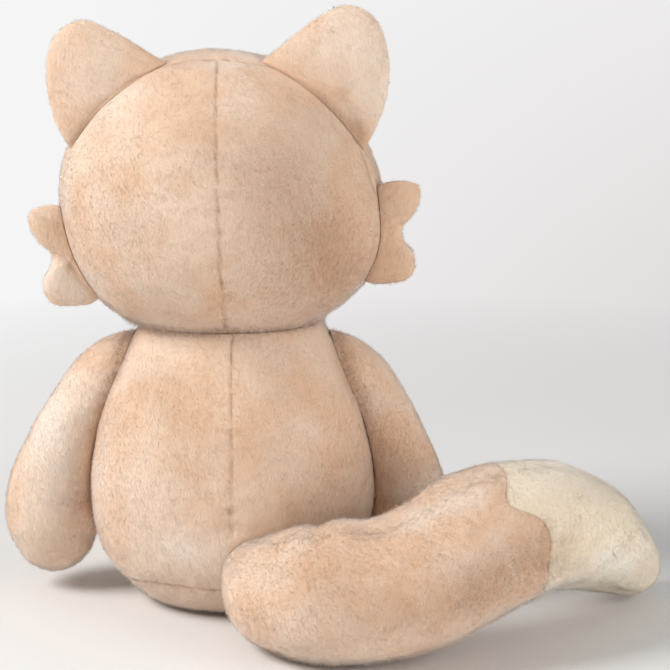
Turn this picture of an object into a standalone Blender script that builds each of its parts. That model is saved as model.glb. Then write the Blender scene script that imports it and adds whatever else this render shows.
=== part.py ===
"""A sitting plush fox, 0.3 m high, built as it is sewn: cloth covers with their own panels, stuffing
inside them, a bag of pellets in the seat, and limbs that swing at their sewn roots. The fox faces -Y,
its tail lies on the ground behind it, and the origin is the middle of the flat it sits on."""

import math

import bmesh
import bpy
import numpy as np
from mathutils import Matrix, Vector

# Cloth, seams and clearances
CLOTH = 0.0024
SEAM_GAP = 0.0004
FIT_GAP = 0.0003
OVERRUN = 0.004
FOLD_ANGLE = math.radians(50)
FLAT_DEPTH = 0.0005

# Torso
TORSO_HEIGHT = 0.141
TORSO_HALF_WIDTH = 0.0705
TORSO_HALF_DEPTH = 0.065
BASE_SEAM_HEIGHT = 0.0075
TORSO_RISE_SHARES = (1.05, 1.0, 0.95, 0.84, 0.68, 0.48, 0.32, 0.18, 0.075, 0.015, 0.0)
TORSO_SIDE_SHARES = (0.56, 0.625, 0.685, 0.795, 0.92, 1.0, 0.995, 0.915, 0.755, 0.59, 0.0)
PROFILE_STEPS = 80

# Head, about the middle of the neck
HEAD_RISE = 0.132
HEAD_HALF_WIDTH = 0.0785
HEAD_HALF_DEPTH = 0.068
HEAD_SIDE_SHIFT = 0.003
HEAD_ROLL = math.radians(3.2)
HEAD_SEAM_BACK = 0.020
HEAD_RISE_SHARES = (-0.09, 0.0, 0.05, 0.125, 0.22, 0.32, 0.45, 0.61, 0.78, 0.9, 0.97, 1.0)
HEAD_SIDE_SHARES = (0.43, 0.585, 0.71, 0.845, 0.945, 0.995, 1.0, 0.95, 0.79, 0.575, 0.32, 0.0)
HEAD_ASIDE_SHARES = (-0.2, -0.3, -0.4, -0.5, -0.5, -0.2, 0.4, 0.9, 1.0, 1.0, 1.0, 1.0)

# Ears: places along the ear in shares of the head's rise, from the head out to the tip
EAR_HALF_WIDTH = 0.031
EAR_HALF_THICKNESS = 0.009
EAR_BACK = 0.016
EAR_ASIDE = -0.002
EAR_OUT_SHARES = (0.25, 0.335, 0.4, 0.447, 0.475, 0.485)
EAR_UP_SHARES = (0.69, 0.785, 0.872, 0.965, 1.055, 1.135)
EAR_WIDTH_SHARES = (1.0, 1.03, 0.94, 0.78, 0.55, 0.0)
EAR_THICKNESS_SHARES = (1.0, 1.0, 0.95, 0.85, 0.65, 0.0)

# Cheek tufts: an outline with two blunt lobes round a middle, in shares of the head's rise
TUFT_HALF_THICKNESS = 0.0055
TUFT_BACK = 0.015
TUFT_MIDDLE_SHARES = (0.58, 0.3)
LEFT_TUFT_SET_SHARES = (-0.015, -0.022)
TUFT_OUT_SHARES = (0.59, 0.705, 0.724, 0.7, 0.655, 0.655, 0.69, 0.68, 0.62, 0.5, 0.44, 0.46)
TUFT_UP_SHARES = (0.49, 0.485, 0.435, 0.375, 0.325, 0.28, 0.22, 0.15, 0.12, 0.135, 0.25, 0.4)

# Muzzle, eyes and nose, on the front of the head
MUZZLE_LENGTH = 0.036
MUZZLE_HALF_WIDTH = 0.034
MUZZLE_HALF_HEIGHT = 0.023
MUZZLE_RISE = 0.041
MUZZLE_REACH_SHARES = (-0.6, 0.0, 0.4, 0.75, 0.95, 1.0)
MUZZLE_SIDE_SHARES = (1.05, 1.0, 0.9, 0.66, 0.36, 0.0)
EYE_RADIUS = 0.0065
EYE_DOME = 0.0042
EYE_RISE = 0.063
EYE_TURN = math.radians(33)
NOSE_RADIUS = 0.0085
NOSE_DOME = 0.006
STEM_RADIUS = 0.0019
STEM_LENGTH = 0.0085
WASHER_RADIUS = 0.0065
WASHER_THICKNESS = 0.0014

# Arms, in shares of the arm's length from its pivot: outwards, forwards, down
LEFT_SPREAD_SHARE = 1.03
RIGHT_SPREAD_SHARE = 0.87
ARM_LENGTH = 0.129
ARM_HALF_WIDTH = 0.0188
SHOULDER_DROP = 0.009
ARM_PIVOT_HEIGHT = TORSO_HEIGHT - SHOULDER_DROP
ARM_OUT_SHARES = (-0.12, 0.0, 0.095, 0.185, 0.27, 0.327, 0.327, 0.312, 0.298)
ARM_FORWARD_SHARES = (0.03, 0.035, 0.04, 0.05, 0.06, 0.07, 0.08, 0.085, 0.09)
ARM_DROP_SHARES = (0.1, 0.115, 0.185, 0.3, 0.45, 0.61, 0.745, 0.87, 0.955)
ARM_SIDE_SHARES = (0.72, 0.9, 1.0, 0.97, 1.0, 1.1, 1.21, 0.94, 0.0)

# Legs, from the root: outwards and forwards in shares of the leg's length, up in shares of its half
# width, which keeps the foot's underside on the ground at any length
LEG_LENGTH = 0.084
LEG_HALF_WIDTH = 0.0205
LEG_STANCE = 0.031
LEG_HINGE_HEIGHT = 0.043
LEG_OUT_SHARES = (-0.03, 0.0, 0.03, 0.07, 0.1, 0.115, 0.125)
LEG_FORWARD_SHARES = (-0.25, 0.0, 0.3, 0.6, 0.84, 0.98, 1.06)
LEG_UP_SHARES = (0.92, 0.96, 0.98, 1.0, 1.17, 1.29, 1.35)
LEG_SIDE_SHARES = (0.97, 1.0, 1.02, 1.03, 1.2, 0.98, 0.0)
SOLE_BACK = 0.009

# Tail, in shares of its length from its root at the torso's back: to the side, backwards, up
TAIL_LENGTH = 0.200
TAIL_HALF_WIDTH = 0.031
TAIL_SIDE_SHARES = (0.08, 0.09, 0.14, 0.26, 0.425, 0.585, 0.725, 0.84, 0.93, 1.01, 1.05)
TAIL_BACK_SHARES = (-0.08, 0.04, 0.145, 0.21, 0.195, 0.125, 0.02, -0.09, -0.19, -0.26, -0.29)
TAIL_UP_SHARES = (0.135, 0.135, 0.137, 0.144, 0.197, 0.255, 0.265, 0.22, 0.145, 0.075, 0.04)
TAIL_THICK_SHARES = (0.52, 0.69, 0.86, 0.95, 1.115, 1.11, 1.0, 0.88, 0.71, 0.45, 0.0)
TAIL_HINGE_ASIDE = 0.004
TAIL_TIP_SIDE_SHARE = 0.69
TAIL_TIP_UP_SHARE = 0.265
TAIL_TIP_SLANT = math.radians(24)

# Pellet bag in the seat
BAG_HALF_WIDTH = 0.044
BAG_HALF_DEPTH = 0.038
BAG_HALF_HEIGHT = 0.0105

# Points around each kind of form, and rings along it
AROUND_BODY, AROUND_LIMB, AROUND_EAR, AROUND_SMALL, AROUND_TUFT = 22, 14, 12, 12, 28
TORSO_RINGS, HEAD_RINGS, TAIL_RINGS = 14, 15, 18
ARM_RINGS, LEG_RINGS, EAR_RINGS, TUFT_RINGS, MUZZLE_RINGS = 11, 9, 8, 5, 7
DOME_RINGS = 4

FUR = ("fur", (0.86, 0.72, 0.58), 0.95)
CREAM = ("cream_fur", (0.88, 0.83, 0.72), 0.95)
STUFFING = ("stuffing", (0.9, 0.9, 0.88), 1.0)
BAG_CLOTH = ("bag_cloth", (0.82, 0.8, 0.76), 0.9)
EYE_PLASTIC = ("eye_plastic", (0.02, 0.015, 0.012), 0.12)
WASHER_PLASTIC = ("washer_plastic", (0.85, 0.85, 0.83), 0.5)


def clear_scene():
    for old in list(bpy.data.objects):
        bpy.data.objects.remove(old, do_unlink=True)


def sub_parts():
    """The names of the sub-parts made so far, without the hidden cutters."""
    return {obj.name for obj in bpy.data.objects if not obj.hide_render}


def material(look):
    """The material of this name, made on first use with its colour and roughness."""
    name, colour, roughness = look
    found = bpy.data.materials.get(name)
    if found is None:
        found = bpy.data.materials.new(name)
        found.use_nodes = True
        shader = found.node_tree.nodes["Principled BSDF"]
        shader.inputs["Base Color"].default_value = (*colour, 1)
        shader.inputs["Roughness"].default_value = roughness
        shader.inputs["Metallic"].default_value = 0
    return found


def smooth_through(values, at):
    """A smooth curve through values at 0, 1, 2 and so on: cubic Hermite spans with middle slopes."""
    values = np.asarray(values, float)
    slopes = np.gradient(values, axis=0)
    first = np.clip(np.floor(at).astype(int), 0, len(values) - 2)
    u = at - first
    if values.ndim > 1:
        u = u[:, None]
    start, end = values[first], values[first + 1]
    leaving, arriving = slopes[first], slopes[first + 1]
    stay = 2 * u**3 - 3 * u**2 + 1
    return (
        stay * start
        + (1 - stay) * end
        + (u**3 - 2 * u**2 + u) * leaving
        + (u**3 - u**2) * arriving
    )


def swell(halves, at):
    """Half widths at `at`. Squares are interpolated, so that an end at zero closes round."""
    return np.sqrt(np.maximum(smooth_through(np.square(halves), at), 0))


def loft_points(path, half_widths, half_depths, facing, around, rings):
    """Rings of points: ellipses square to the path, evenly spaced over its stations, their depth
    along facing. It returns the rings and where the path ends."""
    at = np.linspace(0, len(path) - 1, rings + 1)
    centres = smooth_through(path, at)
    wide = swell(half_widths, at)
    deep = swell(half_depths, at)
    along = np.gradient(centres, axis=0)
    along /= np.linalg.norm(along, axis=1)[:, None]
    depth_way = facing - along * (along @ facing)[:, None]
    depth_way /= np.linalg.norm(depth_way, axis=1)[:, None]
    width_way = np.cross(depth_way, along)
    turn = np.linspace(0, 2 * math.pi, around, endpoint=False)
    points = (
        centres[:, None]
        + width_way[:, None] * (wide[:, None] * np.cos(turn))[..., None]
        + depth_way[:, None] * (deep[:, None] * np.sin(turn))[..., None]
    )
    return points[:-1], centres[-1]


def loft_mesh(name, rings, end, close_start):
    """A mesh of quads between the rings, closed to a point at the end. The start stays open, or gets
    a face of its own."""
    mesh = bpy.data.meshes.new(name)
    bm = bmesh.new()
    rows = [[bm.verts.new(point) for point in ring] for ring in rings]
    tip = bm.verts.new(end)
    for low, high in zip(rows, rows[1:]):
        for i in range(len(low)):
            j = (i + 1) % len(low)
            bm.faces.new((low[i], low[j], high[j], high[i]))
    last = rows[-1]
    for i in range(len(last)):
        bm.faces.new((last[i], last[(i + 1) % len(last)], tip))
    if close_start:
        bm.faces.new(rows[0])
    bmesh.ops.recalc_face_normals(bm, faces=bm.faces)
    middle = sum((v.co for v in bm.verts), Vector()) / len(bm.verts)
    if sum(f.normal.dot(f.calc_center_median() - middle) for f in bm.faces) < 0:
        bmesh.ops.reverse_faces(bm, faces=bm.faces)
    bm.to_mesh(mesh)
    bm.free()
    return mesh


def grown(mesh, by):
    """The mesh with each face moved out by this much, or in where `by` is negative."""
    moved = mesh.copy()
    bm = bmesh.new()
    bm.from_mesh(moved)
    bm.normal_update()
    places = [(v, v.co + v.normal * by * v.calc_shell_factor()) for v in bm.verts]
    for v, place in places:
        v.co = place
    bm.to_mesh(moved)
    bm.free()
    return moved


def place(name, mesh, look=None):
    """The object of this mesh: a sub-part with its material, or a hidden cutter without one."""
    obj = bpy.data.objects.new(name, mesh)
    bpy.context.scene.collection.objects.link(obj)
    if look is None:
        obj.hide_render = True
        obj.display_type = "WIRE"
    else:
        mesh.materials.clear()
        mesh.materials.append(material(look))
        mesh.shade_smooth()
        mesh.set_sharp_from_angle(angle=FOLD_ANGLE)
    return obj


def boolean(obj, operation, other):
    """A live Boolean of obj with another object."""
    step = obj.modifiers.new(f"{operation.lower()} {other.name}", "BOOLEAN")
    step.operation = operation
    step.solver = "EXACT"
    step.object = other


def box_cutter(name, low, high):
    """A hidden box between two corners."""
    mesh = bpy.data.meshes.new(name)
    bm = bmesh.new()
    bmesh.ops.create_cube(bm, size=1)
    low, high = Vector(low), Vector(high)
    for v in bm.verts:
        v.co = Vector((c + 0.5) * (h - l) + l for c, l, h in zip(v.co, low, high))
    bm.to_mesh(mesh)
    bm.free()
    return place(name, mesh)


def turned_cutter(name, profile, about):
    """A hidden solid turned about an axis: profile holds (radius, distance along the axis)."""
    mesh = bpy.data.meshes.new(name)
    bm = bmesh.new()
    points = [bm.verts.new((radius, 0, away)) for radius, away in profile]
    edges = [bm.edges.new(pair) for pair in zip(points, points[1:])]
    bmesh.ops.spin(
        bm, geom=points + edges, axis=(0, 0, 1), cent=(0, 0, 0), angle=2 * math.pi, steps=AROUND_BODY
    )
    bmesh.ops.remove_doubles(bm, verts=bm.verts, dist=FIT_GAP / 10)
    bmesh.ops.recalc_face_normals(bm, faces=bm.faces)
    bmesh.ops.transform(bm, matrix=about, verts=bm.verts)
    bm.to_mesh(mesh)
    bm.free()
    return place(name, mesh)


def cloth_cover(name, mesh, look):
    """A cloth shell: the form's surface with its thickness inside, open where the mesh is open."""
    obj = place(name, mesh.copy(), look)
    wall = obj.modifiers.new("cloth", "SOLIDIFY")
    wall.thickness = CLOTH
    wall.offset = -1
    wall.use_even_offset = True
    wall.use_rim = True
    return obj


def copy_of(obj, name, look=None):
    """A second sub-part that starts as obj does, with the same modifiers so far."""
    twin = place(name, obj.data.copy(), look)
    for old in obj.modifiers:
        new = twin.modifiers.new(old.name, old.type)
        if old.type == "SOLIDIFY":
            new.thickness, new.offset = old.thickness, old.offset
            new.use_even_offset, new.use_rim = old.use_even_offset, old.use_rim
        else:
            new.operation, new.solver, new.object = old.operation, old.solver, old.object
    return twin


def torso_path():
    return [(0, 0, rise * TORSO_HEIGHT) for rise in TORSO_RISE_SHARES]


def torso_mesh(name, close_start):
    """The pear-shaped torso, from above the neck down to the flat it sits on."""
    path = torso_path()
    path[-1] = (0, 0, -FLAT_DEPTH)
    rings, end = loft_points(
        path,
        [share * TORSO_HALF_WIDTH for share in TORSO_SIDE_SHARES],
        [share * TORSO_HALF_DEPTH for share in TORSO_SIDE_SHARES],
        np.array((0, 1, 0)),
        AROUND_BODY,
        TORSO_RINGS,
    )
    return loft_mesh(name, rings, end, close_start)


def torso_half(height, half):
    """The torso's half width or depth at this height, for half its largest."""
    at = np.linspace(0, len(TORSO_RISE_SHARES) - 2, PROFILE_STEPS)
    rises = smooth_through(TORSO_RISE_SHARES, at) * TORSO_HEIGHT
    halves = swell(TORSO_SIDE_SHARES, at) * half
    return float(np.interp(height, rises[::-1], halves[::-1]))


def head_matrix():
    """From the head's own frame, with the neck's middle as origin, to the fox's."""
    return Matrix.Translation((0, 0, TORSO_HEIGHT)) @ Matrix.Rotation(HEAD_ROLL, 4, "Y")


def head_mesh(name, close_start):
    """The head, wider than deep, fullest below its middle."""
    path = [
        (aside * HEAD_SIDE_SHIFT, 0, rise * HEAD_RISE)
        for aside, rise in zip(HEAD_ASIDE_SHARES, HEAD_RISE_SHARES)
    ]
    rings, end = loft_points(
        path,
        [share * HEAD_HALF_WIDTH for share in HEAD_SIDE_SHARES],
        [share * HEAD_HALF_DEPTH for share in HEAD_SIDE_SHARES],
        np.array((0, 1, 0)),
        AROUND_BODY,
        HEAD_RINGS,
    )
    mesh = loft_mesh(name, rings, end, close_start)
    mesh.transform(head_matrix())
    return mesh


def ear_mesh(name, side, close_start):
    """A rounded triangular ear: thin ellipses square to a line that leans out and then stands up."""
    path = [
        (side * out * HEAD_RISE + EAR_ASIDE, EAR_BACK, up * HEAD_RISE)
        for out, up in zip(EAR_OUT_SHARES, EAR_UP_SHARES)
    ]
    rings, end = loft_points(
        path,
        [share * EAR_HALF_WIDTH for share in EAR_WIDTH_SHARES],
        [share * EAR_HALF_THICKNESS for share in EAR_THICKNESS_SHARES],
        np.array((0, 1, 0)),
        AROUND_EAR,
        EAR_RINGS,
    )
    mesh = loft_mesh(name, rings, end, close_start)
    mesh.transform(head_matrix())
    return mesh


def tuft_mesh(name, side):
    """A cheek tuft: a lens over its outline, thickest in its middle."""
    corners = np.column_stack([TUFT_OUT_SHARES, TUFT_UP_SHARES])
    count = len(corners)
    at = np.linspace(0, count, AROUND_TUFT, endpoint=False)
    outline = smooth_through(np.concatenate([corners[-2:], corners, corners[:3]]), at + 2)
    middle = np.array(TUFT_MIDDLE_SHARES)
    if side > 0:
        outline = outline + LEFT_TUFT_SET_SHARES
        middle = middle + LEFT_TUFT_SET_SHARES
    rings = []
    for turn in np.linspace(0, math.pi, TUFT_RINGS + 2)[1:-1]:
        flat = (middle + (outline - middle) * math.sin(turn)) * HEAD_RISE
        away = np.full(AROUND_TUFT, TUFT_BACK + TUFT_HALF_THICKNESS * math.cos(turn))
        rings.append(np.column_stack([side * flat[:, 0], away, flat[:, 1]]))
    end = (side * middle[0] * HEAD_RISE, TUFT_BACK - TUFT_HALF_THICKNESS, middle[1] * HEAD_RISE)
    mesh = loft_mesh(name, rings, end, True)
    mesh.transform(head_matrix())
    return mesh


def muzzle_mesh(name, close_start):
    """The muzzle: a short cone with a round end, forwards from the face."""
    face = HEAD_HALF_DEPTH
    path = [(0, -face - reach * MUZZLE_LENGTH, MUZZLE_RISE) for reach in MUZZLE_REACH_SHARES]
    rings, end = loft_points(
        path,
        [share * MUZZLE_HALF_WIDTH for share in MUZZLE_SIDE_SHARES],
        [share * MUZZLE_HALF_HEIGHT for share in MUZZLE_SIDE_SHARES],
        np.array((0, 0, 1)),
        AROUND_EAR,
        MUZZLE_RINGS,
    )
    mesh = loft_mesh(name, rings, end, close_start)
    mesh.transform(head_matrix())
    return mesh


def arm_pivot(side):
    """Where the arm swings: on the torso's side, at the top of the arm's root."""
    return Vector((side * torso_half(ARM_PIVOT_HEIGHT, TORSO_HALF_WIDTH), 0, ARM_PIVOT_HEIGHT))


def arm_mesh(name, side, close_start):
    """An arm that hangs along the torso, narrow at the shoulder, with a wide round paw."""
    pivot = arm_pivot(side)
    shares = zip(ARM_OUT_SHARES, ARM_FORWARD_SHARES, ARM_DROP_SHARES)
    spread = LEFT_SPREAD_SHARE if side > 0 else -RIGHT_SPREAD_SHARE
    path = [pivot + ARM_LENGTH * Vector((spread * out, -ahead, -down)) for out, ahead, down in shares]
    halves = [share * ARM_HALF_WIDTH for share in ARM_SIDE_SHARES]
    rings, end = loft_points(path, halves, halves, np.array((0, 1, 0)), AROUND_LIMB, ARM_RINGS)
    return loft_mesh(name, rings, end, close_start)


def arm_room(side):
    """What an arm keeps clear of through its whole swing: the torso's side silhouette below the
    pivot, turned about the arm's axis."""
    pivot = arm_pivot(side)
    reach = ARM_LENGTH + ARM_HALF_WIDTH + OVERRUN
    inner = -TORSO_HALF_WIDTH
    profile = [(0, inner)]
    widest = abs(pivot.x)
    for i in range(AROUND_BODY + 1):
        radius = reach * i / AROUND_BODY
        widest = max(widest, torso_half(max(ARM_PIVOT_HEIGHT - radius, 0), TORSO_HALF_WIDTH))
        profile.append((radius, widest + 2 * FIT_GAP - abs(pivot.x)))
    profile.append((reach, inner))
    profile.append((0, inner))
    quarter = Matrix.Rotation(side * math.pi / 2, 4, "Y")
    return turned_cutter(f"arm room {side}", profile[:-1], Matrix.Translation(pivot) @ quarter)


def leg_root(side):
    """The middle of the leg's root on the torso's front, on the ground."""
    front = torso_half(LEG_HINGE_HEIGHT, TORSO_HALF_DEPTH)
    return Vector((side * LEG_STANCE, -front, 0))


def leg_mesh(name, side, close_start):
    """A leg that lies forwards on the ground and ends in a foot with its toes up."""
    root = leg_root(side)
    shares = zip(LEG_OUT_SHARES, LEG_FORWARD_SHARES, LEG_UP_SHARES)
    size = (LEG_LENGTH, LEG_LENGTH, LEG_HALF_WIDTH)
    path = [root + Vector((side * out, -ahead, up)) * Vector(size) for out, ahead, up in shares]
    halves = [share * LEG_HALF_WIDTH for share in LEG_SIDE_SHARES]
    rings, end = loft_points(path, halves, halves, np.array((0, 0, 1)), AROUND_LIMB, LEG_RINGS)
    return loft_mesh(name, rings, end, close_start)


def tail_root():
    """On the torso's back, on the ground below the tail's root."""
    return Vector((0, torso_half(TAIL_LENGTH * TAIL_UP_SHARES[1], TORSO_HALF_DEPTH), 0))


def tail_mesh(name, close_start):
    """The tail: out from the back, round to the fox's right, over a low arch and down to its tip."""
    root = tail_root()
    shares = zip(TAIL_SIDE_SHARES, TAIL_BACK_SHARES, TAIL_UP_SHARES)
    path = [root + TAIL_LENGTH * Vector((-aside, back, up)) for aside, back, up in shares]
    halves = [share * TAIL_HALF_WIDTH for share in TAIL_THICK_SHARES]
    rings, end = loft_points(path, halves, halves, np.array((0, 0, 1)), AROUND_LIMB, TAIL_RINGS)
    return loft_mesh(name, rings, end, close_start)


def reach_box(name, low=(-1, -1, -1), high=(1, 1, 1)):
    """A hidden box that takes in the whole fox, apart from the sides given here."""
    reach = 3 * TORSO_HEIGHT
    low = [-reach if side == -1 else side for side in low]
    high = [reach if side == 1 else side for side in high]
    return box_cutter(name, low, high)


def build_torso():
    """Two back panels, a front panel, the base panel, the stuffing and the pellet bag."""
    gap = SEAM_GAP / 2
    below_neck = TORSO_HEIGHT - gap
    cover = torso_mesh("torso form", False)
    panels = {
        "torso_back_left": ((gap, gap, BASE_SEAM_HEIGHT + gap), (1, 1, below_neck)),
        "torso_back_right": ((-1, gap, BASE_SEAM_HEIGHT + gap), (-gap, 1, below_neck)),
        "torso_front": ((-1, -1, BASE_SEAM_HEIGHT + gap), (1, -gap, below_neck)),
        "torso_base_panel": ((-1, -1, 0), (1, 1, BASE_SEAM_HEIGHT - gap)),
    }
    for name, (low, high) in panels.items():
        panel = cloth_cover(name, cover, FUR)
        boolean(panel, "INTERSECT", reach_box(f"{name} region", low, high))

    bag = bag_mesh("pellet bag form")
    filling = grown(torso_mesh("torso filling form", True), -(CLOTH + FIT_GAP))
    stuffing = place("torso_stuffing", filling, STUFFING)
    boolean(stuffing, "INTERSECT", reach_box("torso filling region", high=(1, 1, below_neck)))
    boolean(stuffing, "DIFFERENCE", place("bag room", grown(bag, FIT_GAP)))
    place("pellet_bag", bag, BAG_CLOTH)


def bag_mesh(name):
    """The flattened bag of pellets that lies on the base panel, inside the stuffing."""
    bm = bmesh.new()
    bmesh.ops.create_uvsphere(bm, u_segments=AROUND_SMALL, v_segments=AROUND_SMALL // 2, radius=1)
    middle = CLOTH + FIT_GAP - FLAT_DEPTH + BAG_HALF_HEIGHT
    size = Matrix.Diagonal((BAG_HALF_WIDTH, BAG_HALF_DEPTH, BAG_HALF_HEIGHT, 1))
    bmesh.ops.transform(bm, matrix=Matrix.Translation((0, 0, middle)) @ size, verts=bm.verts)
    mesh = bpy.data.meshes.new(name)
    bm.to_mesh(mesh)
    bm.free()
    return mesh


def build_head():
    """The head's covers, still whole, and its stuffing."""
    cover = head_mesh("head form", False)
    names = ("head_back_left", "head_back_right", "head_front")
    made = {name: cloth_cover(name, cover, FUR) for name in names}
    filling = grown(head_mesh("head filling form", True), -(CLOTH + FIT_GAP))
    made["head_stuffing"] = place("head_stuffing", filling, STUFFING)
    return made


def part_head(made):
    """Cuts the head's covers into their panels at the seams, and all of it off above the neck."""
    gap = SEAM_GAP / 2
    above_neck = TORSO_HEIGHT + gap
    seam = HEAD_SEAM_BACK
    middle = HEAD_SIDE_SHIFT
    regions = {
        "head_back_left": ((middle + gap, seam + gap, above_neck), (1, 1, 1)),
        "head_back_right": ((-1, seam + gap, above_neck), (middle - gap, 1, 1)),
        "head_front": ((-1, -1, above_neck), (1, seam - gap, 1)),
        "head_stuffing": ((-1, -1, above_neck), (1, 1, 1)),
    }
    for name, (low, high) in regions.items():
        boolean(made[name], "INTERSECT", reach_box(f"{name} region", low, high))


def build_ears(head_room):
    """Each ear: a back cloth and an inner cloth that meet at its edge, with wadding between."""
    gap = SEAM_GAP / 2
    for side, word in ((1, "left"), (-1, "right")):
        cover = ear_mesh(f"{word} ear form", side, False)
        layers = {
            f"{word}_ear_back": (FUR, (-1, EAR_BACK + gap, -1), (1, 1, 1)),
            f"{word}_ear_inner": (CREAM, (-1, -1, -1), (1, EAR_BACK - gap, 1)),
        }
        for name, (look, low, high) in layers.items():
            layer = cloth_cover(name, cover, look)
            boolean(layer, "DIFFERENCE", head_room)
            boolean(layer, "INTERSECT", reach_box(f"{name} region", low, high))
        wadding = grown(ear_mesh(f"{word} wadding form", side, True), -(CLOTH + FIT_GAP))
        boolean(place(f"{word}_ear_wadding", wadding, STUFFING), "DIFFERENCE", head_room)


def build_tufts(head_room):
    """Each cheek tuft: two layers of cloth turned and pressed flat, with two lobes."""
    for side, word in ((1, "left"), (-1, "right")):
        tuft = place(f"{word}_cheek_tuft", tuft_mesh(f"{word} tuft form", side), FUR)
        boolean(tuft, "DIFFERENCE", head_room)


def stud_mesh(name, radius, dome):
    """A domed button on a stem: the eye or nose, with its face along +Z and its stem below."""
    profile = [(0, -STEM_LENGTH), (STEM_RADIUS, -STEM_LENGTH), (STEM_RADIUS, 0), (radius, 0)]
    for i in range(1, DOME_RINGS + 1):
        turn = math.pi / 2 * i / DOME_RINGS
        profile.append((radius * math.cos(turn), dome * math.sin(turn)))
    return spun_mesh(name, profile)


def washer_mesh(name):
    """A lock washer whose bore clears the stem, with its top face at zero."""
    bore = STEM_RADIUS + FIT_GAP / 2
    corners = [(bore, -WASHER_THICKNESS), (WASHER_RADIUS, -WASHER_THICKNESS), (WASHER_RADIUS, 0)]
    return spun_mesh(name, [*corners, (bore, 0), corners[0]])


def spun_mesh(name, profile):
    """A solid turned about Z from (radius, height) points."""
    bm = bmesh.new()
    points = [bm.verts.new((radius, 0, height)) for radius, height in profile]
    edges = [bm.edges.new(pair) for pair in zip(points, points[1:])]
    bmesh.ops.spin(
        bm, geom=points + edges, axis=(0, 0, 1), cent=(0, 0, 0), angle=2 * math.pi, steps=AROUND_SMALL
    )
    bmesh.ops.remove_doubles(bm, verts=bm.verts, dist=FIT_GAP / 10)
    bmesh.ops.recalc_face_normals(bm, faces=bm.faces)
    mesh = bpy.data.meshes.new(name)
    bm.to_mesh(mesh)
    bm.free()
    return mesh


def facing_matrix(point, normal):
    """Places a piece made along +Z at the point, with +Z along the normal."""
    return Matrix.Translation(point) @ Vector(normal).to_track_quat("Z", "Y").to_matrix().to_4x4()


def head_front_place(rise, turn):
    """A point of the head's front and its outward normal: turn is the angle from straight ahead."""
    at = np.linspace(0, len(HEAD_RISE_SHARES) - 1, PROFILE_STEPS)
    rises = smooth_through(HEAD_RISE_SHARES, at) * HEAD_RISE
    shares = swell(HEAD_SIDE_SHARES, at)
    asides = smooth_through(HEAD_ASIDE_SHARES, at) * HEAD_SIDE_SHIFT

    def on_head(height, angle):
        share = float(np.interp(height, rises, shares))
        aside = float(np.interp(height, rises, asides))
        wide, deep = HEAD_HALF_WIDTH * share, HEAD_HALF_DEPTH * share
        return Vector((wide * math.sin(angle) + aside, -deep * math.cos(angle), height))

    nudge = FLAT_DEPTH
    point = on_head(rise, turn)
    up = on_head(rise + nudge, turn) - point
    across = on_head(rise, turn + nudge / HEAD_HALF_WIDTH) - point
    return point, across.cross(up).normalized()


def build_studs(made, muzzle_cover, muzzle_stuffing):
    """The eyes and the nose: a button outside the cloth, its stem through it, a washer inside."""
    places = {
        "left_eye": (head_front_place(EYE_RISE, EYE_TURN), EYE_RADIUS, EYE_DOME),
        "right_eye": (head_front_place(EYE_RISE, -EYE_TURN), EYE_RADIUS, EYE_DOME),
    }
    facet_sag = HEAD_HALF_WIDTH * (1 - math.cos(math.pi / AROUND_BODY))
    curve_sag = WASHER_RADIUS**2 / (2 * HEAD_HALF_DEPTH)
    tip = Vector((0, -HEAD_HALF_DEPTH - MUZZLE_LENGTH, MUZZLE_RISE))
    places["nose"] = ((tip, Vector((0, -1, 0))), NOSE_RADIUS, NOSE_DOME)
    for name, ((point, normal), radius, dome) in places.items():
        outside = head_matrix() @ facing_matrix(point + normal * 2 * FIT_GAP, normal)
        inside = outside @ Matrix.Translation((0, 0, -(CLOTH + facet_sag + curve_sag + 3 * FIT_GAP)))
        stud = stud_mesh(name, radius, dome)
        stud.transform(outside)
        place(name, stud, EYE_PLASTIC)
        washer = washer_mesh(f"{name}_washer")
        washer.transform(inside)
        place(f"{name}_washer", washer, WASHER_PLASTIC)
        hole = (STEM_RADIUS + FIT_GAP / 2, -2 * STEM_LENGTH), (STEM_RADIUS + FIT_GAP / 2, OVERRUN)
        room = (WASHER_RADIUS + FIT_GAP, -2 * STEM_LENGTH), (WASHER_RADIUS + FIT_GAP, OVERRUN)
        stem_room = rod_cutter(f"{name} stem room", hole, outside)
        washer_room = rod_cutter(f"{name} washer room", room, outside)
        cover = muzzle_cover if name == "nose" else made["head_front"]
        filling = muzzle_stuffing if name == "nose" else made["head_stuffing"]
        boolean(cover, "DIFFERENCE", stem_room)
        boolean(filling, "DIFFERENCE", washer_room)


def rod_cutter(name, side, matrix):
    """A hidden cylinder from its side's two (radius, height) points."""
    (radius, low), (_, high) = side
    rod = spun_mesh(name, [(0, low), (radius, low), (radius, high), (0, high)])
    rod.transform(matrix)
    return place(name, rod)


def build_muzzle(head_room):
    """The muzzle's cloth cover and its stuffing, sewn on the front of the head."""
    cover = cloth_cover("muzzle", muzzle_mesh("muzzle form", False), CREAM)
    boolean(cover, "DIFFERENCE", head_room)
    filling = grown(muzzle_mesh("muzzle filling form", True), -(CLOTH + FIT_GAP))
    stuffing = place("muzzle_stuffing", filling, STUFFING)
    boolean(stuffing, "DIFFERENCE", head_room)
    return cover, stuffing


def build_limb(name, make_mesh, room, ground, look=FUR):
    """A limb's cover, open at its root, and its stuffing, both cut clear of what they hang from."""
    cover = cloth_cover(name, make_mesh(f"{name} form", False), look)
    filling = grown(make_mesh(f"{name} filling form", True), -(CLOTH + FIT_GAP))
    stuffing = place(f"{name}_stuffing", filling, STUFFING)
    for piece in (cover, stuffing):
        boolean(piece, "DIFFERENCE", room)
        if ground:
            boolean(piece, "INTERSECT", ground)
    return cover, stuffing


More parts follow.
